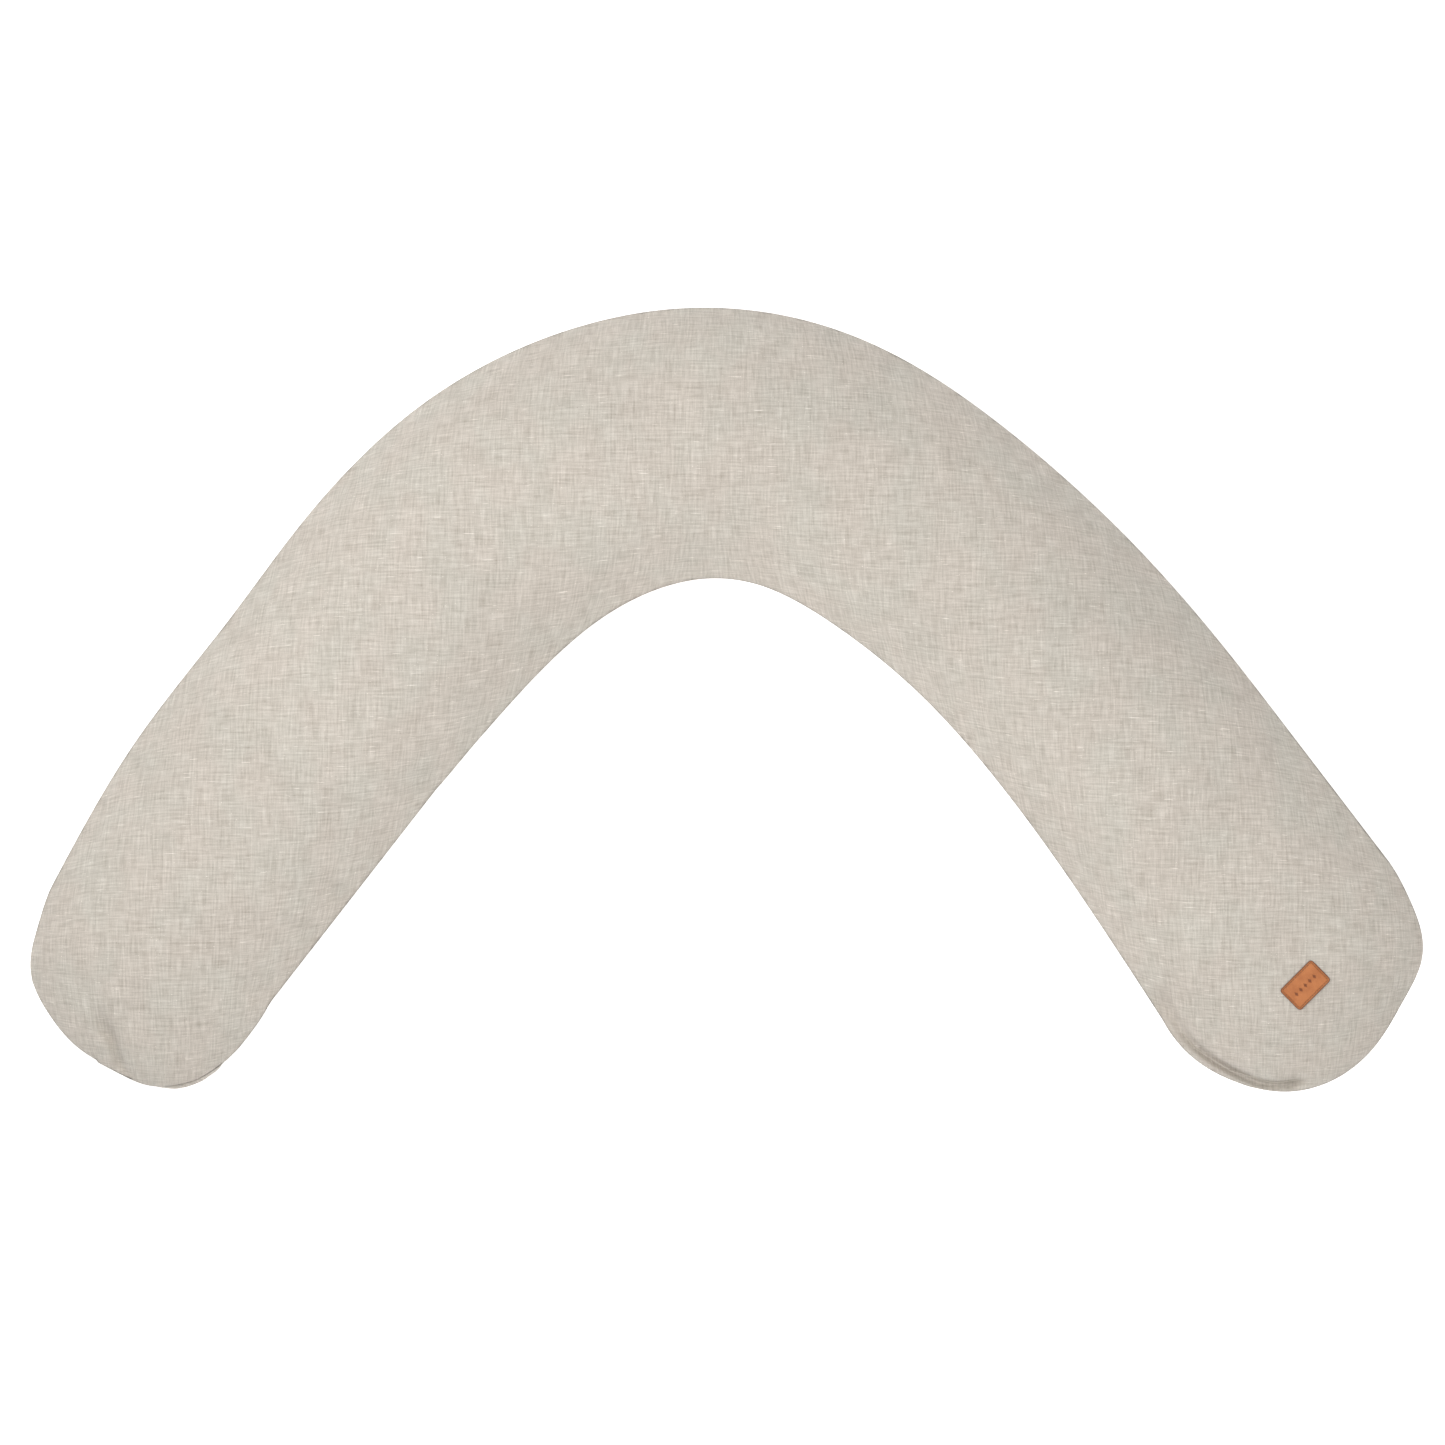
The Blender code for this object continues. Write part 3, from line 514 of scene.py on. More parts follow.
# %% Fold the cloth
# A fold's marks are (bearing in degrees, metres from the end of the middle line)
SOFT_FOLDS = [
    # end, marks, depth, half-width
    ("label", [(2, 0.070), (-8, 0.092), (-14, 0.118), (-17, 0.138)], 0.0022, 0.013),
    ("label", [(34, 0.052), (50, 0.060), (66, 0.078)], 0.0012, 0.014),
    ("zip", [(46, 0.085), (40, 0.110), (36, 0.126)], 0.0014, 0.010),
    ("zip", [(-40, 0.070), (-46, 0.100), (-49, 0.125)], 0.0016, 0.009),
]
CREASE = [(14, 0.060), (8.6, 0.089), (-1.8, 0.102), (-10.0, 0.119), (-16.0, 0.131)]
CREASE_DEPTH = 0.0125
CREASE_HALF_WIDTH = 0.0036
CREASE_WIDENS_BY = 0.005  # towards the crease's start
RIDGE_HEIGHT = 0.0022
RIDGE_AWAY, RIDGE_SPREAD = 2.4, 1.5  # in half-widths of the crease
GROOVE = [
    (-120, 0.150),
    (-106, 0.134),
    (-97, 0.1275),
    (-89, 0.125),
    (-76, 0.130),
    (-61, 0.134),
    (-48, 0.139),
    (-37, 0.144),
    (-27, 0.143),
    (-20, 0.145),
]
FOLDED_IN = 0.0150
FOLDED_DEEPER_BY = 0.0080  # in the groove's second half
GROOVE_WIDTH = 0.0048  # half the width of the groove in the cloth
GROOVE_WIDENS_BY = 0.011  # towards the groove's start


def bell(offset):
    return np.exp(-(offset**2))


for end, marks, depth, wide in SOFT_FOLDS:
    aside, share = beside(near_end(end, marks), xy)
    fade = np.sin(np.pi * np.clip(share, 0.04, 0.96))
    top[..., 2] -= depth * fade * bell(aside / wide)

aside, share = beside(near_end("zip", CREASE), xy)
sharp = CREASE_HALF_WIDTH + CREASE_WIDENS_BY * (1 - share)
fade = smooth_step(share / 0.5) * (1 - 0.4 * smooth_step((share - 0.85) / 0.15))
inside = 1 - far**14
ridge = bell((np.abs(aside) - RIDGE_AWAY * sharp) / (RIDGE_SPREAD * sharp))
top[..., 2] -= CREASE_DEPTH * fade * bell(aside / sharp) * inside
top[..., 2] += RIDGE_HEIGHT * fade * ridge * inside

aside, share = beside(near_end("label", GROOVE), xy)
sharp = GROOVE_WIDTH + GROOVE_WIDENS_BY * (1 - smooth_step(share / 0.55))
fade = smooth_step(share / 0.45) * (1 - smooth_step((share - 0.86) / 0.14))
depth = FOLDED_IN + FOLDED_DEEPER_BY * smooth_step((share - 0.35) / 0.3)
folded_in = depth * fade * bell(aside / sharp) * (1 - far**20)
top[..., 2] -= folded_in
print("the groove is", round(float(folded_in.max()), 4), "m deep")

# %% [markdown]
# ## Hold the linen flat under the label
# Leather is stiffer than linen, so the linen under the label follows one gently curved surface. It
# is the curved sheet that fits the cloth there best, and the label's stitches pull it in a little.

# %% Lay out the label's place
LABEL_LENGTH = 0.0440
LABEL_WIDTH = 0.0288
LABEL_TURN = 45.0
LABEL_AHEAD = 0.0516
LABEL_ASIDE = -0.0026
LABEL_DENT = 0.0005
LABEL_HOLD = 0.016  # how far round the label its stitches hold the linen flat

foot, ahead, aside = END_AXES["label"]
label_centre = foot + ahead * LABEL_AHEAD + aside * LABEL_ASIDE
turn = math.radians(LABEL_TURN)
label_axes = np.array([[math.cos(turn), math.sin(turn)], [-math.sin(turn), math.cos(turn)]])


def label_terms(flat):
    """The terms of a gently curved surface in the label's own axes, and how near the label is."""
    local = (flat - label_centre) @ label_axes.T
    u, v = local[..., 0], local[..., 1]
    beyond = np.maximum(np.abs(u) - LABEL_LENGTH / 2, np.abs(v) - LABEL_WIDTH / 2)
    terms = np.stack([u, v, u * u, v * v, u * v, np.ones_like(u)], axis=-1)
    return terms, np.clip(1 - beyond / LABEL_HOLD, 0, 1)


terms, near_label = label_terms(xy)
fitted = near_label > 0.5
label_ground = np.linalg.lstsq(terms[fitted], top[fitted][:, 2], rcond=None)[0]
under_label = terms @ label_ground - LABEL_DENT
top[..., 2] += (under_label - top[..., 2]) * smooth_step(near_label)
print("the label lies", round(float(label_ground[-1]), 4), "m above the floor")

# %% [markdown]
# ## Make room for the zip
# The zip lies on the underside of the inner edge, where it doesn't touch the baby. The lower panel
# stops at the zip's rim there, so its first cells are moved inwards. The upper panel reaches a
# little over the zip, and hides it from above.

# %% Cut the lower panel back
RIM_INSET = 0.0076
RIM_REACH = 0.045
OPEN_FROM, OPEN_OVER = 0.0086, 0.0045  # where the opening starts, and how soon it is fully open
SHUT_BEYOND, SHUT_OVER = 0.001, 0.006  # the same at the opening's other end
ZIP_FLAP = 0.0014  # how far the upper panel overhangs the zip
FLAP_BEFORE, FLAP_COMES_OVER = 0.04, 0.055  # where the overhang starts, and how soon it is full
FLAP_GOES_OVER = 0.06  # how far beyond the zip it fades away

along_zip = smooth_step((place - OPEN_FROM) / OPEN_OVER)
along_zip *= smooth_step((ZIP_END + SHUT_BEYOND - place) / SHUT_OVER)
into = np.where(inner_side, (1 - far) * reach, RIM_REACH)
cut = RIM_INSET * np.clip(1 - into / RIM_REACH, 0, 1) ** 2 * along_zip
calm = 1 - along_zip * np.where(inner_side, np.clip(1.5 - into / RIM_REACH, 0, 1), 0)
bottom[..., 2] = bottom_height(far - cut / reach) + (bottom[..., 2] - bottom_height(far)) * calm
level_xy = bottom[..., :2] * calm[..., None] + finer(grid_xy) * (1 - calm[..., None])
bottom[..., :2] = level_xy - out * cut[..., None]

flap = smooth_step((place + FLAP_BEFORE) / FLAP_COMES_OVER)
flap *= smooth_step((ZIP_END + FLAP_GOES_OVER - place) / FLAP_GOES_OVER)
near_seam = np.where(inner_side, np.clip((far - 0.9) / 0.1, 0, 1), 0)
flap = out * (ZIP_FLAP * flap * near_seam)[..., None]
top[..., :2] += flap
bottom[..., :2] += flap * (1 - along_zip)[..., None]
print("cut back by", round(float(cut.max()), 4), "m")

# %% [markdown]
# ## A slit round the tip
# Round the tip, just before the zip starts, the upper panel's edge is turned in a little further and
# the lower panel swells out under it. From above, that shows as a short dark line with a thin light
# strip of the lower panel beyond it.

# %% Open the slit
SLIT = (-70.0, -20.0)  # bearings between which the lower panel shows beyond the seam
SLIT_FADES = (22.0, 18.0)  # degrees over which the slit comes and goes
SLIT_AWAY = 0.05  # bearings mean nothing nearer than this to the end of the middle line
SLIT_INSET = 0.0036
SLIT_RISE = 0.0025
SLIT_SWELL = 0.0040
SLIT_DROP = 0.0008  # how much lower than the upper panel the lower one is there

foot, ahead, aside = END_AXES["zip"]
away = xy - foot
bearing = np.degrees(np.arctan2(away @ aside, away @ ahead))
window = smooth_step((bearing - SLIT[0]) / SLIT_FADES[0]) * smooth_step((SLIT[1] - bearing) / SLIT_FADES[1])
window = np.where(np.linalg.norm(away, axis=-1) > SLIT_AWAY, window, 0)
near_seam = np.clip((far - 0.90) / 0.10, 0, 1)
top[..., :2] -= out * (SLIT_INSET * window * near_seam**1.5)[..., None]
top[..., 2] += SLIT_RISE * window * near_seam
swell = SLIT_SWELL * window * np.sin(np.pi * near_seam**1.6)
bottom[..., :2] += out * (swell - SLIT_INSET * window * near_seam**6)[..., None]
bottom[..., 2] += (SLIT_RISE - SLIT_DROP) * window * near_seam
bottom[..., 2] = np.maximum(bottom[..., 2], 0.0)
print("the slit's part of the grid:", int((window > 0).sum()), "points")

# %% [markdown]
# ## Sew the cover
# Each panel is one sheet with its edge turned in, as a sewn seam leaves it. The two folded edges
# meet in a fine groove. Every point also stores where it lay in the flat cloth, so that the weave
# runs straight over the cushion and stretches nowhere.

# %% Build the cover's panels
FOLD_HALF_GAP = 0.0007
FOLD_DEPTH = 0.0013
FOLD_SHUT = 0.8  # how far the folded edge closes the gap again
CLOTH_TURN = 0.0009
LOWER_CLOTH = 3.0  # shifts the weave, because the lower panel is cut from another part of the linen
SLOPE_STEPS = 400


def border(rows, cols):
    """Row and column of the grid points round the edge, in order."""
    down = [(i, 0) for i in range(rows)] + [(rows - 1, j) for j in range(1, cols)]
    back = [(i, cols - 1) for i in range(rows - 2, -1, -1)] + [(0, j) for j in range(cols - 2, 0, -1)]
    return np.array(down + back)


def grid_normals(grid, upward):
    along, across = np.gradient(grid, axis=0), np.gradient(grid, axis=1)
    normal = np.cross(along, across)
    normal /= np.maximum(np.linalg.norm(normal, axis=2, keepdims=True), 1e-12)
    return normal if upward else -normal


def hoops(number, upward=False):
    """Faces between neighbouring closed rings of vertex numbers."""
    return quads(np.column_stack([number, number[:, 0]]), upward)


def spare_length(far, reach, upward):
    """How much longer the cloth is than its shadow, from the middle line to each point."""
    shares = np.linspace(0, 1, SLOPE_STEPS)
    height = top_height(shares, 0.5 * SPINE_LENGTH) if upward else bottom_height(shares)
    step = np.diff(shares) * ARM_WIDTH / 2
    extra = np.concatenate([[0], np.cumsum(np.hypot(step, np.diff(height)) - step)])
    return np.interp(far, shares, extra) * reach / (ARM_WIDTH / 2)


def panel_object(name, grid, upward, flat, half_gap=FOLD_HALF_GAP, turn=3):
    """A panel with its edge turned in. Stores each point's place in the flat cloth."""
    rows, cols = grid.shape[:2]
    edge = border(rows, cols)
    inward = np.clip(edge, turn, [rows - 1 - turn, cols - 1 - turn])
    normal = grid_normals(grid, upward)
    side = 1 if upward else -1
    grid = grid.copy()
    grid[edge[:, 0], edge[:, 1], 2] += side * half_gap
    rim, deep = grid[edge[:, 0], edge[:, 1]], grid[inward[:, 0], inward[:, 1]]
    level = (deep - rim) * [1, 1, 0]
    level /= np.linalg.norm(level, axis=1, keepdims=True)
    fold = rim + level * FOLD_DEPTH - [0, 0, side * half_gap * FOLD_SHUT]
    hidden = deep - normal[inward[:, 0], inward[:, 1]] * CLOTH_TURN
    points = np.concatenate([grid.reshape(-1, 3), fold, hidden])
    number = np.arange(rows * cols).reshape(rows, cols)
    added = rows * cols + np.arange(2 * len(edge)).reshape(2, -1)
    rings = np.concatenate([number[edge[:, 0], edge[:, 1]][None], added])
    made = mesh_object(name, points, np.concatenate([quads(number, upward), hoops(rings, upward)]))
    flat_edge = flat[edge[:, 0], edge[:, 1]]
    flat = np.concatenate([flat.reshape(-1, 3), flat_edge, flat[inward[:, 0], inward[:, 1]]])
    store = made.data.attributes.new("weave", "FLOAT_VECTOR", "POINT")
    store.data.foreach_set("vector", flat.ravel().astype(np.float32))
    return made


def flat_place(grid, upward):
    spare = spare_length(far, reach, upward)
    flat = grid[..., :2] + out * spare[..., None]
    return lift(flat, np.full(far.shape, 0.0 if upward else LOWER_CLOTH))


cover_top = panel_object("cover_top", top, True, flat_place(top, True))
cover_bottom = panel_object("cover_bottom", bottom, False, flat_place(bottom, False))
print("cover", len(cover_top.data.polygons), "+", len(cover_bottom.data.polygons), "faces")

# %% [markdown]
# ## What is inside
# The cotton liner and its beads are hidden, but they are there: the cover comes off for washing.
# Each is the same pattern, inset and a little flatter, and stays under the cloth that covers it.

# %% Build the liner and the beads
LINER_INSET = 0.0100
LINER_UNDER = 0.0016  # how far the liner stays under the cover
LINER_CLOTH = 1.5
FILLING_INSET = 0.0165
FILLING_UNDER = 0.0030
NEARBY = np.array([(0, 0), (1, 0), (-1, 0), (0, 1), (0, -1)]) * 0.0035
EDGE_DROP = 0.002  # extra room under the cover, towards a layer's edge
LEAST_THICKNESS = 0.002
UNDER_ROOF = 0.004  # how far a layer's underside stays below the top of its space
JOIN_UNDER_ROOF = 0.001  # the same for its edge, where its two sheets join
BOTTOM_SHARE = 0.55  # a layer's gap to the cover's bottom, as a share of its gap to the top
LAYER_HALF_GAP = 0.0003


def tree_of(*pieces):
    bm = bmesh.new()
    for piece in pieces:
        bm.from_mesh(piece.data)
    tree = BVHTree.FromBMesh(bm)
    bm.free()
    return tree


def height_on(tree, points, downward=True):
    """Heights of a surface where straight lines down, or up, through the points meet it."""
    start, way = (1.0, -1.0) if downward else (-1.0, 1.0)
    heights = []
    for x, y in points.reshape(-1, 2):
        hit = tree.ray_cast(Vector((x, y, start)), Vector((0, 0, way)))[0]
        heights.append(hit.z if hit else SEAM_HEIGHT)
    return np.array(heights).reshape(points.shape[:-1])


top_tree, bottom_tree = tree_of(cover_top), tree_of(cover_bottom)


def layer_grids(inset, lower_by):
    """Upper and lower grids of a layer inside the cover, a set distance under it."""
    flat, layer_far, _, layer_place = plan(inset)
    roof = np.min([height_on(top_tree, flat + step) for step in NEARBY], axis=0) - lower_by
    ground = height_on(bottom_tree, flat, False)
    crown = crown_height(layer_place)
    share = (crown - lower_by - SEAM_HEIGHT) / (crown - SEAM_HEIGHT)
    above = np.minimum(top_height(layer_far, layer_place, share), roof - EDGE_DROP * layer_far**2)
    below = np.maximum(bottom_height(layer_far), ground) + lower_by * BOTTOM_SHARE
    below = np.minimum(below, roof - UNDER_ROOF)
    edge = np.zeros(flat.shape[:2], bool)
    edge[[0, -1]], edge[:, [0, -1]] = True, True
    joined = np.minimum(SEAM_HEIGHT, roof - JOIN_UNDER_ROOF)
    above = np.where(edge, joined, np.maximum(above, below + LEAST_THICKNESS))
    below = np.where(edge, joined, below)
    return lift(flat, above), lift(flat, below)


def plain_flat(grid):
    return grid * [1, 1, 0] + [0, 0, LINER_CLOTH]


liner_above, liner_below = layer_grids(LINER_INSET, LINER_UNDER)
liner_top = panel_object("liner_top", liner_above, True, plain_flat(liner_above), LAYER_HALF_GAP, 1)
liner_bottom = panel_object("liner_bottom", liner_below, False, plain_flat(liner_below), LAYER_HALF_GAP, 1)
points, faces, _, _ = closed_skin(*layer_grids(FILLING_INSET, FILLING_UNDER))
beads = mesh_object("beads", points, faces)
print("liner", len(liner_top.data.polygons), "beads", len(beads.data.polygons), "faces")

# %% [markdown]
# ## The care label
# A strip of blank white satin is caught in the seam and lies on the liner. Its length is measured
# along the slope that it lies on, because a real strip doesn't stretch.

# %% Lay the care label
CARE_SIZE = (0.030, 0.045)
CARE_STATION = 0.62  # share of the way from the zip's end to the label's end
CARE_LIFT = 0.0003
CARE_SEAM_INSET = LINER_INSET + 0.0012
CARE_ROWS, CARE_COLUMNS = 31, 21

care_place = np.array([CARE_STATION * SPINE_LENGTH])
liner_tree = tree_of(liner_top)
care_foot, care_seam, _ = side_lines(care_place, CARE_SEAM_INSET)
care_inward = (care_foot - care_seam)[0] / np.linalg.norm(care_foot - care_seam)
care_along = heading(care_place)[0]
reach_in = np.linspace(0, CARE_SIZE[1], SLOPE_STEPS)
slope_line = care_seam + reach_in[:, None] * care_inward
slope_height = height_on(liner_tree, slope_line)
walked = np.concatenate([[0], np.cumsum(np.hypot(np.diff(reach_in), np.diff(slope_height)))])
reach_in = np.interp(np.linspace(0, CARE_SIZE[1], CARE_ROWS), walked, reach_in)
across = np.linspace(-0.5, 0.5, CARE_COLUMNS) * CARE_SIZE[0]
flat = care_seam + reach_in[:, None, None] * care_inward + across[None, :, None] * care_along
care_grid = lift(flat, height_on(liner_tree, flat) + CARE_LIFT)
number = np.arange(CARE_ROWS * CARE_COLUMNS).reshape(CARE_ROWS, CARE_COLUMNS)
care_tag = mesh_object("care_tag", care_grid.reshape(-1, 3), quads(number))
print("care label", round(float(walked[-1]), 4), "m of slope under it")

# %% [markdown]
# ## The leather label
# The label is a patch of tan leather with rounded corners. Its edges were cut hot, so they are dark,
# and a line of stitches lies in a groove round it. Five small lozenges are pressed into its middle.
# The patch is made of rings that follow its edge, so the edge, the groove and the pressed shapes
# are all real relief.

# %% Shape the label
LABEL_THICKNESS = 0.0016
LABEL_CORNER = 0.0034
STITCH_INSET = 0.0022
GROOVE_DEPTH = 0.0006
GROOVE_HALF_WIDTH = 0.0005
EDGE_ROUND = 0.0007
EDGE_RINGS = [0, 0.0001, 0.0003, 0.0006]  # insets of the rings where the edge is rounded
FACE_RINGS = (0.0010, 38)  # inset of the first ring on the flat face, and how many there are
CENTRE_GAP = 0.00004
LEAST_CORNER = 0.0003
BURN_REACH = 0.0011
CORNER_STEPS, SIDE_STEPS = 8, 88
LOZENGES = 5
LOZENGE_STEP = 0.0062
LOZENGE_SIZE = (0.0016, 0.0026)  # half-length and half-height
LOZENGE_DEPTH = 0.00035
LOZENGE_SOFTNESS = 0.5  # width of a lozenge's sloping edge, as a share of its half-size


def rounded_rectangle(length, width, corner, side_steps):
    """Points round a rectangle with round corners, as many on each side, centred on the origin."""
    points = []
    for quarter, (sx, sy) in enumerate(((1, 1), (-1, 1), (-1, -1), (1, -1))):
        centre = np.array([sx * (length / 2 - corner), sy * (width / 2 - corner)])
        turn = np.radians(90 * (quarter + np.arange(CORNER_STEPS + 1) / CORNER_STEPS))
        points.append(centre + corner * np.column_stack([np.cos(turn), np.sin(turn)]))
    rounded = []
    for arc, following in zip(points, points[1:] + points[:1]):
        share = np.arange(1, side_steps)[:, None] / side_steps
        rounded += [*arc, *(arc[-1] + (following[0] - arc[-1]) * share)]
    return np.array(rounded)


def label_relief(local, inset):
    """Height of the leather's face above its back, and how deep its pressed shapes are."""
    height = LABEL_THICKNESS - EDGE_ROUND * np.clip(1 - inset / EDGE_ROUND, 0, 1) ** 2
    height -= GROOVE_DEPTH * bell((inset - STITCH_INSET) / GROOVE_HALF_WIDTH)
    pressed = np.zeros(len(local))
    for k in range(LOZENGES):
        x = local[:, 0] - (k - (LOZENGES - 1) / 2) * LOZENGE_STEP
        size = np.abs(x) / LOZENGE_SIZE[0] + np.abs(local[:, 1]) / LOZENGE_SIZE[1]
        pressed = np.maximum(pressed, smooth_step((1 + LOZENGE_SOFTNESS / 2 - size) / LOZENGE_SOFTNESS))
    return height - LOZENGE_DEPTH * pressed, pressed


def label_patch():
    """The leather, in rings from the back's edge over the rim to the middle of its face."""
    half = LABEL_WIDTH / 2
    insets = np.concatenate([EDGE_RINGS, np.linspace(FACE_RINGS[0], half - CENTRE_GAP, FACE_RINGS[1])])
    rings, heights, pressed = [], [], []
    for inset in insets:
        corner = min(max(LABEL_CORNER - inset, LEAST_CORNER), 0.9 * (half - inset))
        ring = rounded_rectangle(LABEL_LENGTH - 2 * inset, LABEL_WIDTH - 2 * inset, corner, SIDE_STEPS)
        height, press = label_relief(ring, inset)
        rings.append(ring), heights.append(height), pressed.append(press)
    rings, pressed = rings[:1] + rings, pressed[:1] + pressed
    heights = [0 * heights[0]] + heights
    burnt = [1.0, 1.0] + [float(bell(inset / BURN_REACH)) for inset in insets[1:]]
    flat = np.array(rings) @ label_axes + label_centre
    ground = label_terms(flat)[0] @ label_ground
    points = lift(flat, ground + np.array(heights))
    number = np.arange(points[..., 0].size).reshape(points.shape[:2])
    faces = [*hoops(number).tolist(), number[-1].tolist(), number[0][::-1].tolist()]
    made = mesh_object("label_patch", points.reshape(-1, 3), faces)
    for name, values in (("pressed", pressed), ("burnt", np.repeat(burnt, number.shape[1]))):
        store = made.data.attributes.new(name, "FLOAT", "POINT")
        store.data.foreach_set("value", np.array(values).ravel().astype(np.float32))
    return made


label = label_patch()
print("label", len(label.data.polygons), "faces at", np.round(label_centre, 4))

# %% [markdown]
# ## Stitches
# A thread is a thin round tube, so stitches and zip coils share one tube maker. Each stitch dips
# into the material at its two ends, where the needle went through.

# %% Sew round the label
STITCH_LENGTH = 0.0027
STITCH_GAP = 0.0006
STITCH_RISE = 0.0003
STITCH_DIP = 0.0005
STITCH_THREAD = 0.00028  # half of the thread's thickness
STITCH_CORNER = 0.0010
STITCH_SIDE_STEPS = 64
STITCH_POINTS = 9


def tube(path, radius, sides=8):
    """Points and faces of a tube along a path, closed at its ends."""
    path = np.asarray(path, float)
    ahead = np.gradient(path, axis=0)
    ahead /= np.linalg.norm(ahead, axis=1, keepdims=True)
    aside = np.cross(ahead, [0.0, 0.0, 1.0] if abs(ahead[0, 2]) < 0.9 else [1.0, 0.0, 0.0])
    aside /= np.linalg.norm(aside, axis=1, keepdims=True)
    above = np.cross(aside, ahead)
    turn = np.arange(sides) * 2 * np.pi / sides
    radius = np.broadcast_to(radius, len(path))[:, None, None]
    ring = np.cos(turn)[None, :, None] * aside[:, None] + np.sin(turn)[None, :, None] * above[:, None]
    points = (path[:, None] + radius * ring).reshape(-1, 3)
    number = np.arange(len(points)).reshape(-1, sides)
    return points, [*hoops(number).tolist(), number[0][::-1].tolist(), number[-1].tolist()]


def tubes(name, paths, radius, sides=8):
    points, faces, count = [], [], 0
    for path in paths:
        new_points, new_faces = tube(path, radius, sides)
        points.append(new_points)
        faces += [[v + count for v in face] for face in new_faces]
        count += len(new_points)
    return mesh_object(name, np.concatenate(points), faces)


def stitch_paths(line, up, length, gap, rise, dip):
    """Stitches along a line: each rises a little in the middle and dips at its ends."""
    step = np.linalg.norm(np.diff(line, axis=0), axis=1)
    mark = np.concatenate([[0], np.cumsum(step)])
    count = int(mark[-1] / (length + gap))
    spacing = mark[-1] / count
    paths = []
    for k in range(count):
        share = np.linspace(0, 1, STITCH_POINTS)
        at = k * spacing + gap / 2 + share * (spacing - gap)
        path = np.column_stack([np.interp(at, mark, line[:, axis]) for axis in range(3)])
        arch = rise - (rise + dip) * np.abs(2 * share - 1) ** 4
        paths.append(path + arch[:, None] * up)
    return paths


size = LABEL_LENGTH - 2 * STITCH_INSET, LABEL_WIDTH - 2 * STITCH_INSET
local = rounded_rectangle(*size, STITCH_CORNER, STITCH_SIDE_STEPS)
local = np.concatenate([local, local[:1]])
flat = local @ label_axes + label_centre
height = label_terms(flat)[0] @ label_ground + LABEL_THICKNESS - GROOVE_DEPTH
paths = stitch_paths(
    np.column_stack([flat, height]), np.array([0, 0, 1.0]), STITCH_LENGTH, STITCH_GAP, STITCH_RISE, STITCH_DIP
)
label_stitches = tubes("label_stitches", paths, STITCH_THREAD)
print(len(paths), "stitches round the label")

# %% [markdown]
# ## The zip's coils and hem
# A coil zip is a nylon wire wound into a flattened spring on each tape. The two springs are half a
# turn apart, so their turns interlock. A line of stitches holds the lower panel's hem to the zip.

# %% Wind the coils
COIL_PITCH = 0.0014
COIL_WIRE = 0.00030
COIL_STEPS = 18  # points in one turn of the coil
COIL_SIDES = 6
HEM_STITCH = 0.0026
HEM_GAP = 0.0007
HEM_RISE = 0.0002
HEM_THREAD = 0.00022
HEM_STEPS = 60

joints = {joint["name"]: joint for joint in frame["joints"]}
zip_along = np.array(joints["zip_slide"]["axis"], float)
zip_up = -np.array(joints["pull_tab_hinge"]["axis"], float)
zip_along, zip_up = zip_along / np.linalg.norm(zip_along), zip_up / np.linalg.norm(zip_up)
zip_face = np.cross(zip_along, zip_up)
zip_axes = np.stack([zip_along, zip_up, zip_face])


def zip_box(node):
    """A node's corners in the zip's own axes: along it, up the opening, and out of the pillow."""
    points = np.array([v.co for v in frame["nodes"][node].data.vertices]) @ zip_axes.T
    return points.min(axis=0), points.max(axis=0)


def coil(node, phase):
    low, high = zip_box(node)
    middle, half = (low + high) / 2, (high - low) / 2
    turns = int((high[0] - low[0]) / COIL_PITCH)
    turn = np.linspace(0, 2 * np.pi * turns, turns * COIL_STEPS + 1)
    x = low[0] + COIL_WIRE + turn / (2 * np.pi * turns) * (high[0] - low[0] - 2 * COIL_WIRE)
    # A flattened loop: a rounded square of wire rather than a circle
    wide, deep = np.cos(turn + phase), np.sin(turn + phase)
    square = (wide**4 + deep**4) ** -0.25
    y = middle[1] + (half[1] - COIL_WIRE) * wide * square
    z = middle[2] + (half[2] - COIL_WIRE) * deep * square
    return np.column_stack([x, y, z]) @ zip_axes


coil_upper = tubes("coil_upper", [coil("zip_coil_upper", 0.0)], COIL_WIRE, COIL_SIDES)
coil_lower = tubes("coil_lower", [coil("zip_coil_lower", np.pi)], COIL_WIRE, COIL_SIDES)

low, high = zip_box("zip_hem_thread")
line = np.tile((low + high) / 2, (HEM_STEPS, 1))
line[:, 0] = np.linspace(low[0], high[0], HEM_STEPS)
line[:, 2] = low[2] + HEM_THREAD
paths = stitch_paths(line @ zip_axes, zip_face, HEM_STITCH, HEM_GAP, HEM_RISE, STITCH_DIP)
hem_stitches = tubes("hem_stitches", paths, HEM_THREAD)
for made in (coil_upper, coil_lower, hem_stitches):
    print(made.name, len(made.data.polygons), "faces")

# %% [markdown]
# ## Finer hard parts
# The zip's metal parts and tapes keep their solids. A small bevel breaks their sharp edges, as
# tumbling does to cast zinc.

# %% Bevel the metal parts
BEVELS = {
    "zip_slider_body": 0.00018,
    "zip_pull_tab": 0.00022,
    "zip_top_stop_upper": 0.00015,
    "zip_top_stop_lower": 0.00015,
    "zip_bottom_stop": 0.00015,
}
for node, width in BEVELS.items():
    bevel = frame["nodes"][node].modifiers.new("bevel", "BEVEL")
    bevel.width = width
    bevel.segments = 3
    bevel.limit_method = "ANGLE"
    bevel.angle_limit = math.radians(40)
    bevel.harden_normals = False
print("bevelled", len(BEVELS), "nodes")

# %% [markdown]
# ## A short way to write a look
# A material's nodes read best as formulas, so a socket is wrapped in a small class that can be
# added, multiplied and mixed. One more call makes any other node. Every look below uses only these.

# %% Nodes as formulas


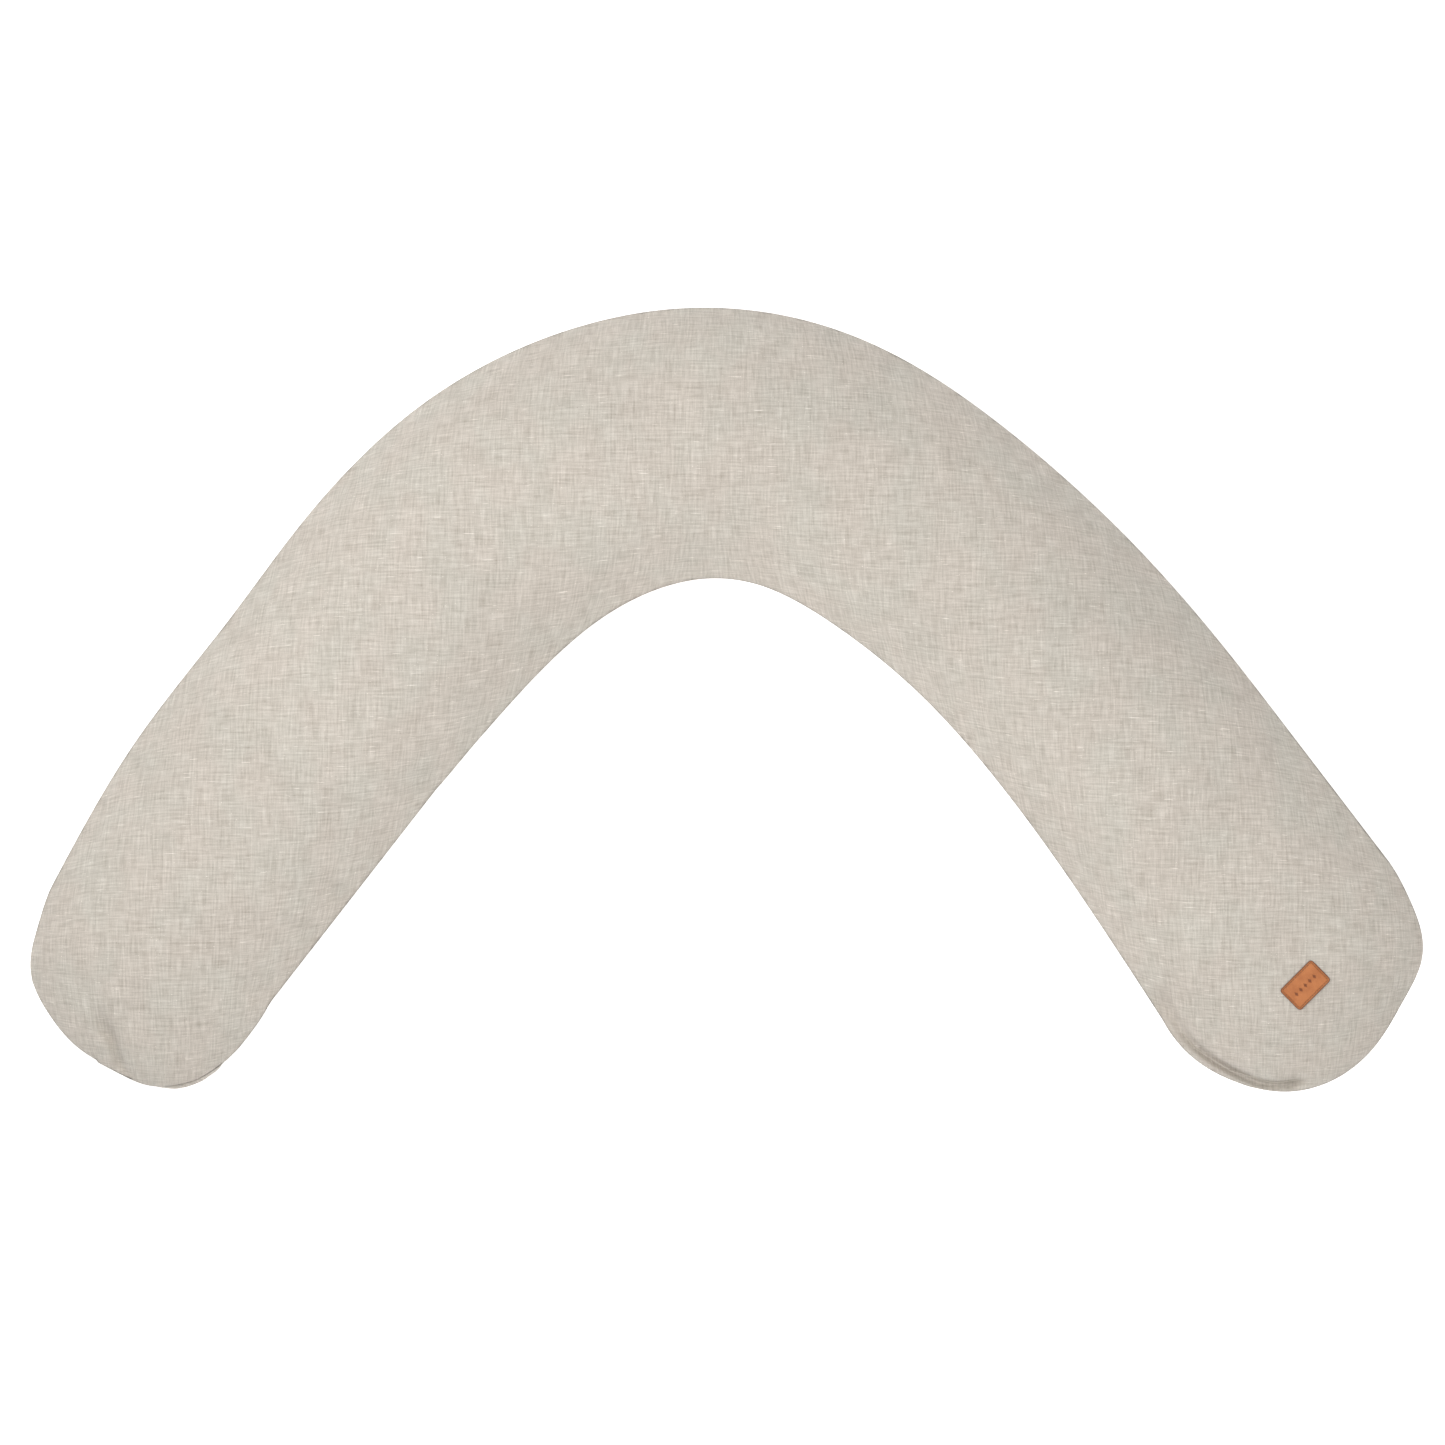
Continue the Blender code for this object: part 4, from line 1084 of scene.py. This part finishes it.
class Wire:
    """A node's output that can be used in sums with numbers, colours and other wires."""

    def __init__(self, look, socket):
        self.look, self.socket = look, socket
        self.many = socket.type in ("VECTOR", "RGBA")

    def sum(self, operation, first, second):
        many = any(isinstance(v, tuple) or (isinstance(v, Wire) and v.many) for v in (first, second))
        kind = "ShaderNodeVectorMath" if many else "ShaderNodeMath"
        if many:
            first, second = (v if isinstance(v, (Wire, tuple)) else (v,) * 3 for v in (first, second))
        return self.look.node(kind, {"operation": operation}, {0: first, 1: second})

    def __add__(self, other):
        return self.sum("ADD", self, other)

    def __sub__(self, other):
        return self.sum("SUBTRACT", self, other)

    def __rsub__(self, other):
        return self.sum("SUBTRACT", other, self)

    def __mul__(self, other):
        return self.sum("MULTIPLY", self, other)

    def __truediv__(self, other):
        return self.sum("DIVIDE", self, other)

    def __pow__(self, other):
        return self.sum("POWER", self, other)

    __radd__, __rmul__ = __add__, __mul__

    def math(self, operation, other=0.0):
        return self.look.node("ShaderNodeMath", {"operation": operation}, {0: self, 1: other})

    def between(self, low, high):
        """0 under low, 1 over high, and smooth between them."""
        inputs = {"Value": self, "From Min": low, "From Max": high}
        return self.look.node("ShaderNodeMapRange", {"interpolation_type": "SMOOTHSTEP"}, inputs)

    def mix(self, first, second):
        """The first colour where this wire is 0 and the second where it is 1."""
        inputs = {0: self, 6: first, 7: second}
        settings = {"data_type": "RGBA", "clamp_factor": False}
        return self.look.node("ShaderNodeMix", settings, inputs, output=2)


print("a wire's own calls:", ", ".join(name for name in vars(Wire) if not name.startswith("__")))

# %% [markdown]
# ## One material
# A look is one material. Numbers and colours are set straight on its shader, and wires are plugged
# into it. Relief goes through a bump node, whose depth is given in metres.

# %% Start and finish a look


class Look:
    """One procedural material. Its constants are set straight on the shader's sockets."""

    def __init__(self, name, **constants):
        self.material = bpy.data.materials.new(name)
        self.material.use_nodes = True
        self.tree = self.material.node_tree
        self.shader = self.tree.nodes["Principled BSDF"]
        for key, value in constants.items():
            self.plug(self.shader.inputs[key.replace("_", " ").title().replace("Ior", "IOR")], value)

    def plug(self, socket, value):
        if isinstance(value, Wire):
            self.tree.links.new(value.socket, socket)
        elif socket.type == "RGBA" and len(value) == 3:
            socket.default_value = (*value, 1.0)
        else:
            socket.default_value = value

    def node(self, kind, settings=None, inputs=None, output=0):
        """Any node: its settings come first, then its sockets. Returns one of its outputs."""
        made = self.tree.nodes.new(kind)
        for key, value in (settings or {}).items():
            setattr(made, key, value)
        for key, value in (inputs or {}).items():
            self.plug(made.inputs[key], value)
        return Wire(self, made.outputs[output])

    def noise(self, where, scale, detail=2.0, roughness=0.5):
        inputs = {"Vector": where, "Scale": scale, "Detail": detail, "Roughness": roughness}
        return self.node("ShaderNodeTexNoise", None, inputs)

    def finish(self, colour=None, roughness=None, height=None, depth=0.0005, strength=1.0):
        for name, wire in (("Base Color", colour), ("Roughness", roughness)):
            if wire is not None:
                self.plug(self.shader.inputs[name], wire)
        if height is not None:
            inputs = {"Height": height, "Distance": depth, "Strength": strength}
            self.plug(self.shader.inputs["Normal"], self.node("ShaderNodeBump", None, inputs))
        return self.material


def wear(piece, look):
    piece.data.materials.clear()
    piece.data.materials.append(look)


print("ready to make looks")

# %% [markdown]
# ## A plain weave
# Woven cloth is a warp and a weft of uneven threads, each slightly lighter or darker than its
# neighbours and fading along its length. That is what draws fine streaks both ways. Flax also has a
# few thick light slubs, which lie across the cloth, and a few dark specks of bark. One function
# makes any plain weave, because the liner, the zip tape and the care label are woven too.

# %% Weave cloth


def woven(name, pitch, light, dark, streaks=1.0, slubs=0.0, uneven=0.25, where=None, **shader):
    """A plain weave with a thread every pitch metres. Returns its look, colour and height."""
    look = Look(name, roughness=0.85, **shader)
    if where is None:
        where = look.node("ShaderNodeAttribute", {"attribute_name": "weave"}, output=1)
    else:
        where = where(look)
    parts = look.node("ShaderNodeSeparateXYZ", None, {0: where})
    x, y = parts, Wire(look, parts.socket.node.outputs[1])

    def stretched(wide, tall, seed, detail=2.0):
        """Noise whose spots are wide by tall metres."""
        vector = look.node("ShaderNodeCombineXYZ", None, {0: x / wide, 1: y / tall, 2: seed})
        return look.noise(vector, 1.0, detail)

    u = x / pitch + (stretched(40 * pitch, 9 * pitch, 3.1) - 0.5) * uneven * 2
    v = y / pitch + (stretched(9 * pitch, 40 * pitch, 5.7) - 0.5) * uneven * 2
    column, row = u.math("FLOOR"), v.math("FLOOR")
    round_u = ((u - column - 0.5) * math.pi).math("COSINE")
    round_v = ((v - row - 0.5) * math.pi).math("COSINE")
    warp_up = ((v - 0.5 + column) * math.pi).math("COSINE") * 0.5 + 0.5
    weft_up = ((u - 0.5 + row) * math.pi).math("COSINE") * -0.5 + 0.5
    warp, weft = round_u * warp_up, round_v * weft_up
    height = warp.math("MAXIMUM", weft)
    on_warp = (warp - weft).between(-0.1, 0.1)

    warp_shade = stretched(2.8 * pitch, 34 * pitch, 11.0) * 0.72
    warp_shade = warp_shade + stretched(6.0 * pitch, 110 * pitch, 12.0) * 0.28
    weft_shade = stretched(34 * pitch, 2.8 * pitch, 21.0) * 0.72
    weft_shade = weft_shade + stretched(110 * pitch, 6.0 * pitch, 22.0) * 0.28
    fibre = stretched(2.2 * pitch, 2.2 * pitch, 31.0) - 0.5
    both = (warp_shade + weft_shade - 1.0) * 1.12
    own = (on_warp * (warp_shade - weft_shade) + weft_shade - 0.5) * 0.9
    shade = 0.5 + (both + own + fibre * 0.45) * streaks
    # Painted shade: the hollows between the threads are darker and the threads' crowns lighter, following the
    # weave's height.
    shade = shade + (height - 0.6) * 0.30
    if slubs:
        slub = stretched(30 * pitch, 1.9 * pitch, 41.0, 1.0).between(0.69, 0.77)
        standing = stretched(1.4 * pitch, 22 * pitch, 42.0, 1.0).between(0.73, 0.80)
        knot = stretched(4 * pitch, 1.7 * pitch, 43.0, 0.0).between(0.80, 0.86)
        speck = stretched(1.3 * pitch, 6 * pitch, 44.0, 0.0).between(0.83, 0.88)
        shade = shade + (slub * 0.95 + standing * 0.40 + knot * 1.00 - speck * 0.80) * slubs
        height = height + (slub + knot) * 0.5 * slubs
    colour = shade.math("MAXIMUM", -0.3).mix(dark, light)
    return look, colour, height, stretched


print("woven() gives a look, its colour, its height and a maker of spots")

# %% [markdown]
# ## Linen
# The cover is linen of undyed flax, a little cooler in some places than in others, as cloth that was
# never dyed is. Its weave is only a fine relief, so the light that grazes it shows its threads.

# %% Weave the linen
LINEN_LIGHT = (0.640, 0.593, 0.535)
LINEN_DARK = (0.385, 0.346, 0.298)
LINEN_PITCH = 0.00062

look, colour, height, stretched = woven(
    "linen", LINEN_PITCH, LINEN_LIGHT, LINEN_DARK, streaks=1.0, slubs=1.0,
    sheen_weight=0.12, sheen_roughness=0.5, specular_ior_level=0.25,
)
cool = stretched(0.050, 0.065, 51.0, 3.0).between(0.35, 0.70)
colour = colour * cool.mix((1.010, 0.998, 0.988), (0.984, 1.003, 0.994))
colour = colour * ((stretched(0.16, 0.13, 52.0, 2.0) - 0.5) * 0.10 + 1.0)
linen = look.finish(colour, None, height, depth=0.00022, strength=0.8)
wear(cover_top, linen)
wear(cover_bottom, linen)
print("linen with", round(0.01 / LINEN_PITCH), "threads to the centimetre")

# %% [markdown]
# ## Cotton, tape and satin
# The liner is fine cotton. The zip's tape is a coarser weave that runs along the zip, so its place
# is measured in the zip's own axes. The care label is a very fine satin.

# %% Weave the other cloths
look, colour, height, _ = woven("cotton", 0.00035, (0.86, 0.85, 0.82), (0.70, 0.68, 0.64), 0.35,
                                sheen_weight=0.08, specular_ior_level=0.25)
cotton = look.finish(colour, None, height, depth=0.00010, strength=0.6)
wear(liner_top, cotton)
wear(liner_bottom, cotton)


def zip_place(look):
    """The surface's place along the zip and across it, in metres."""
    place = look.node("ShaderNodeTexCoord", output=3)
    ways = [
        look.node("ShaderNodeVectorMath", {"operation": "DOT_PRODUCT"}, {0: place, 1: tuple(axis)}, output=1)
        for axis in (zip_along, zip_up)
    ]
    return look.node("ShaderNodeCombineXYZ", None, {0: ways[0], 1: ways[1], 2: 0.0})


def plain_place(look):
    return look.node("ShaderNodeTexCoord", output=3)


look, colour, height, _ = woven("tape", 0.00045, (0.60, 0.55, 0.48), (0.36, 0.32, 0.27), 0.5,
                                        where=zip_place, sheen_weight=0.1, specular_ior_level=0.3)
tape = look.finish(colour, None, height, depth=0.00020, strength=1.0)
look, colour, height, _ = woven("satin", 0.00022, (0.90, 0.90, 0.88), (0.76, 0.76, 0.74), 0.3,
                                where=plain_place, sheen_weight=0.05, specular_ior_level=0.5)
satin = look.finish(colour, None, height, depth=0.00006, strength=0.5)
wear(care_tag, satin)
print("woven looks:", linen.name, cotton.name, tape.name, satin.name)

# %% [markdown]
# ## Leather and thread
# Vegetable-tanned leather is a warm tan with fine pores, a little darker where it was pressed, and
# nearly black where it was burnt along its edges. Threads have twisted strands and a little fuzz, with
# painted shade between the strands.

# %% Make the leather and the threads
look = Look("leather", specular_ior_level=0.3)
place = plain_place(look)
pores = look.node("ShaderNodeTexVoronoi", {"feature": "DISTANCE_TO_EDGE"}, {"Vector": place, "Scale": 1500.0})
grain = look.noise(place, 900.0, 4.0, 0.6)
cloudy = look.noise(place, 90.0, 3.0, 0.55)
pressed = look.node("ShaderNodeAttribute", {"attribute_name": "pressed"}, output=2)
burnt = look.node("ShaderNodeAttribute", {"attribute_name": "burnt"}, output=2)
colour = (cloudy * 0.75 + grain * 0.25).between(0.30, 0.70).mix((0.365, 0.118, 0.034), (0.475, 0.170, 0.056))
colour = (pressed * 0.85).mix(colour, (0.150, 0.045, 0.018))
colour = (burnt * 0.95).math("MINIMUM", 1.0).mix(colour, (0.130, 0.050, 0.022))
roughness = (cloudy - 0.5) * 0.25 + 0.50 + pressed * 0.10
height = pores.between(0.0, 0.16) * 0.6 + grain * 0.4
leather = look.finish(colour, roughness, height, depth=0.00007, strength=0.7)
wear(label, leather)


def thread_look(name, light, dark, twist, roughness=0.7):
    look = Look(name, sheen_weight=0.1, specular_ior_level=0.35)
    place = plain_place(look)
    strands = look.node("ShaderNodeTexWave", {"wave_type": "BANDS", "bands_direction": "DIAGONAL"},
                        {"Vector": place, "Scale": twist, "Distortion": 1.2, "Detail": 2.0})
    fuzz = look.noise(place, 4000.0, 3.0, 0.6)
    # The strands' pattern is both the relief and the colour: painted shade in the grooves between the strands
    # and a painted highlight on their crowns. The fuzz adds random tone.
    shade = strands * 0.6 + fuzz * 0.4
    return look.finish(shade.mix(dark, light), fuzz * 0.2 + roughness, shade, depth=0.00008)


leather_thread = thread_look("leather_thread", (0.36, 0.16, 0.07), (0.12, 0.045, 0.02), 700.0, 0.45)
thread = thread_look("thread", (0.66, 0.62, 0.55), (0.46, 0.42, 0.36), 900.0)
wear(label_stitches, leather_thread)
wear(hem_stitches, thread)
print("looks:", leather.name, leather_thread.name, thread.name)

# %% [markdown]
# ## Nylon, metal and beads
# The zip's wire is satin nylon, worn a little lighter where it rubs. Its slider is tumbled zinc with
# fine scratches and brighter edges. The beads are foam spheres, each a slightly different white and
# darker towards its edge, which is painted shade between the beads.

# %% Make the nylon, the metal and the beads
look = Look("nylon", specular_ior_level=0.5)
place = plain_place(look)
soft = look.noise(place, 700.0, 3.0, 0.6)
rub = look.noise(place, 160.0, 2.0, 0.5)
colour = rub.between(0.3, 0.7).mix((0.46, 0.42, 0.36), (0.58, 0.54, 0.47))
nylon = look.finish(colour, soft * 0.2 + 0.28, soft, depth=0.00003, strength=0.5)
wear(coil_upper, nylon)
wear(coil_lower, nylon)

look = Look("metal", metallic=1.0)
place = plain_place(look)
brushed = look.noise(place * (900.0, 900.0, 90.0), 1.0, 3.0, 0.6)
spots = look.noise(place, 420.0, 4.0, 0.65)
edges = look.node("ShaderNodeNewGeometry", output=7).between(0.50, 0.58)
colour = (spots * 0.5 + brushed * 0.5).mix((0.33, 0.317, 0.29), (0.47, 0.455, 0.42))
colour = (edges * 0.5).mix(colour, (0.60, 0.585, 0.55))
roughness = brushed * 0.18 + spots * 0.15 + 0.20
metal = look.finish(colour, roughness, brushed + spots * 0.5, depth=0.00002, strength=0.5)

look = Look("beads", roughness=0.6, specular_ior_level=0.4)
place = plain_place(look)
cell = look.node("ShaderNodeTexVoronoi", {"feature": "F1"}, {"Vector": place, "Scale": 330.0})
tint = look.node("ShaderNodeTexVoronoi", {"feature": "F1"}, {"Vector": place, "Scale": 330.0}, output=1)
dome = 1 - (cell * 1.5) ** 2.0
# Painted shade: each bead is lightest in its middle and darker towards its edge, following its dome.
colour = (dome.between(0.0, 0.9) * 0.8 + tint * 0.2).mix((0.52, 0.52, 0.51), (0.94, 0.94, 0.93))
bead_foam = look.finish(colour, None, dome, depth=0.0012)
wear(beads, bead_foam)

NODE_LOOKS = {
    "cover_seam_thread": thread,
    "liner_seam_thread": thread,
    "zip_tape_upper": tape,
    "zip_tape_lower": tape,
    "zip_slider_body": metal,
    "zip_pull_tab": metal,
    "zip_top_stop_upper": metal,
    "zip_top_stop_lower": metal,
    "zip_bottom_stop": metal,
}
for node, finish in NODE_LOOKS.items():
    wear(frame["nodes"][node], finish)
print("looks on", len(NODE_LOOKS), "nodes")

# %% [markdown]
# ## Floor, light and camera
# The floor is white and very large, so it has no edge in any view. The light is a large soft panel
# high on the left, with a bright room around it and a small, weak panel over the label's end. The
# camera looks straight down from far above, through a long lens, so that the two arms keep their
# proportions.

# %% Set the stage
FLOOR_SIZE = 120.0
# Each light's power, size, place and the point that it is aimed at
LIGHTS = {
    "key": (24.0, 1.3, Vector((-0.65, 0.28, 1.9)), Vector((-0.25, 0.05, 0.05))),
    "fill": (2.6, 0.7, Vector((0.73, -0.54, 1.0)), Vector((0.55, -0.30, 0.1))),
}
ROOM_LIGHT = 0.70
FLOOR_GLOW = 0.58  # the floor burns out to white, as it does on a lit table
CAMERA_HEIGHT = 12.0
CAMERA_OVER = np.array([0.005286, 0.223419]) - PATTERN_SHIFT
SEEN_WIDTH = 1.43055
SENSOR = 36.0

half = FLOOR_SIZE / 2
floor = mesh_object(
    "floor", [(-half, -half, 0), (half, -half, 0), (half, half, 0), (-half, half, 0)], [(0, 1, 2, 3)]
)
look = Look("floor", roughness=0.7, specular_ior_level=0.2, emission_strength=FLOOR_GLOW)
mottle = look.noise(plain_place(look), 3.0, 3.0, 0.5)
look.plug(look.shader.inputs["Emission Color"], (1.0, 1.0, 1.0))
wear(floor, look.finish(mottle.mix((0.88, 0.88, 0.88), (0.91, 0.91, 0.905)), None, mottle, 0.0002))

world = bpy.data.worlds.new("room")
scene.world = world
world.use_nodes = True
world.node_tree.nodes["Background"].inputs["Color"].default_value = (1.0, 1.0, 1.0, 1.0)
world.node_tree.nodes["Background"].inputs["Strength"].default_value = ROOM_LIGHT

for name, (power, size, place, aim) in LIGHTS.items():
    light = bpy.data.objects.new(name, bpy.data.lights.new(name, "AREA"))
    light.data.shape, light.data.size, light.data.energy = "DISK", size, power
    light.location = place
    light.rotation_euler = (aim - place).to_track_quat("-Z", "Y").to_euler()
    scene.collection.objects.link(light)

camera = bpy.data.objects.new("camera", bpy.data.cameras.new("camera"))
camera.data.type = "PERSP"
camera.data.sensor_width = SENSOR
camera.data.lens = SENSOR * (CAMERA_HEIGHT - SEAM_HEIGHT) / SEEN_WIDTH
camera.data.clip_end = 200.0
camera.location = (*CAMERA_OVER, CAMERA_HEIGHT)
scene.collection.objects.link(camera)
scene.camera = camera
scene.view_settings.view_transform = "Standard"
print("lens", round(camera.data.lens), "mm")

# %% [markdown]
# ## Tie the pieces to the frame
# Each piece names the body that it moves with, the solid that it stands for and the finish that it
# wears. Only the slider and its pull tab move, and both keep their solids.

PIECES = [
    (cover_top, ["cover_top_panel"], "linen"),
    (cover_bottom, ["cover_bottom_panel"], "linen"),
    (liner_top, ["liner_top_panel"], "cotton"),
    (liner_bottom, ["liner_bottom_panel"], "cotton"),
    (beads, ["bead_filling"], "beads"),
    (label, ["leather_label"], "leather"),
    (label_stitches, ["label_thread"], "leather_thread"),
    (coil_upper, ["zip_coil_upper"], "nylon"),
    (coil_lower, ["zip_coil_lower"], "nylon"),
    (hem_stitches, ["zip_hem_thread"], "thread"),
    (care_tag, ["care_label"], "satin"),
]
for piece, nodes, slot in PIECES:
    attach(piece, "pillow")
    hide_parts(*nodes)
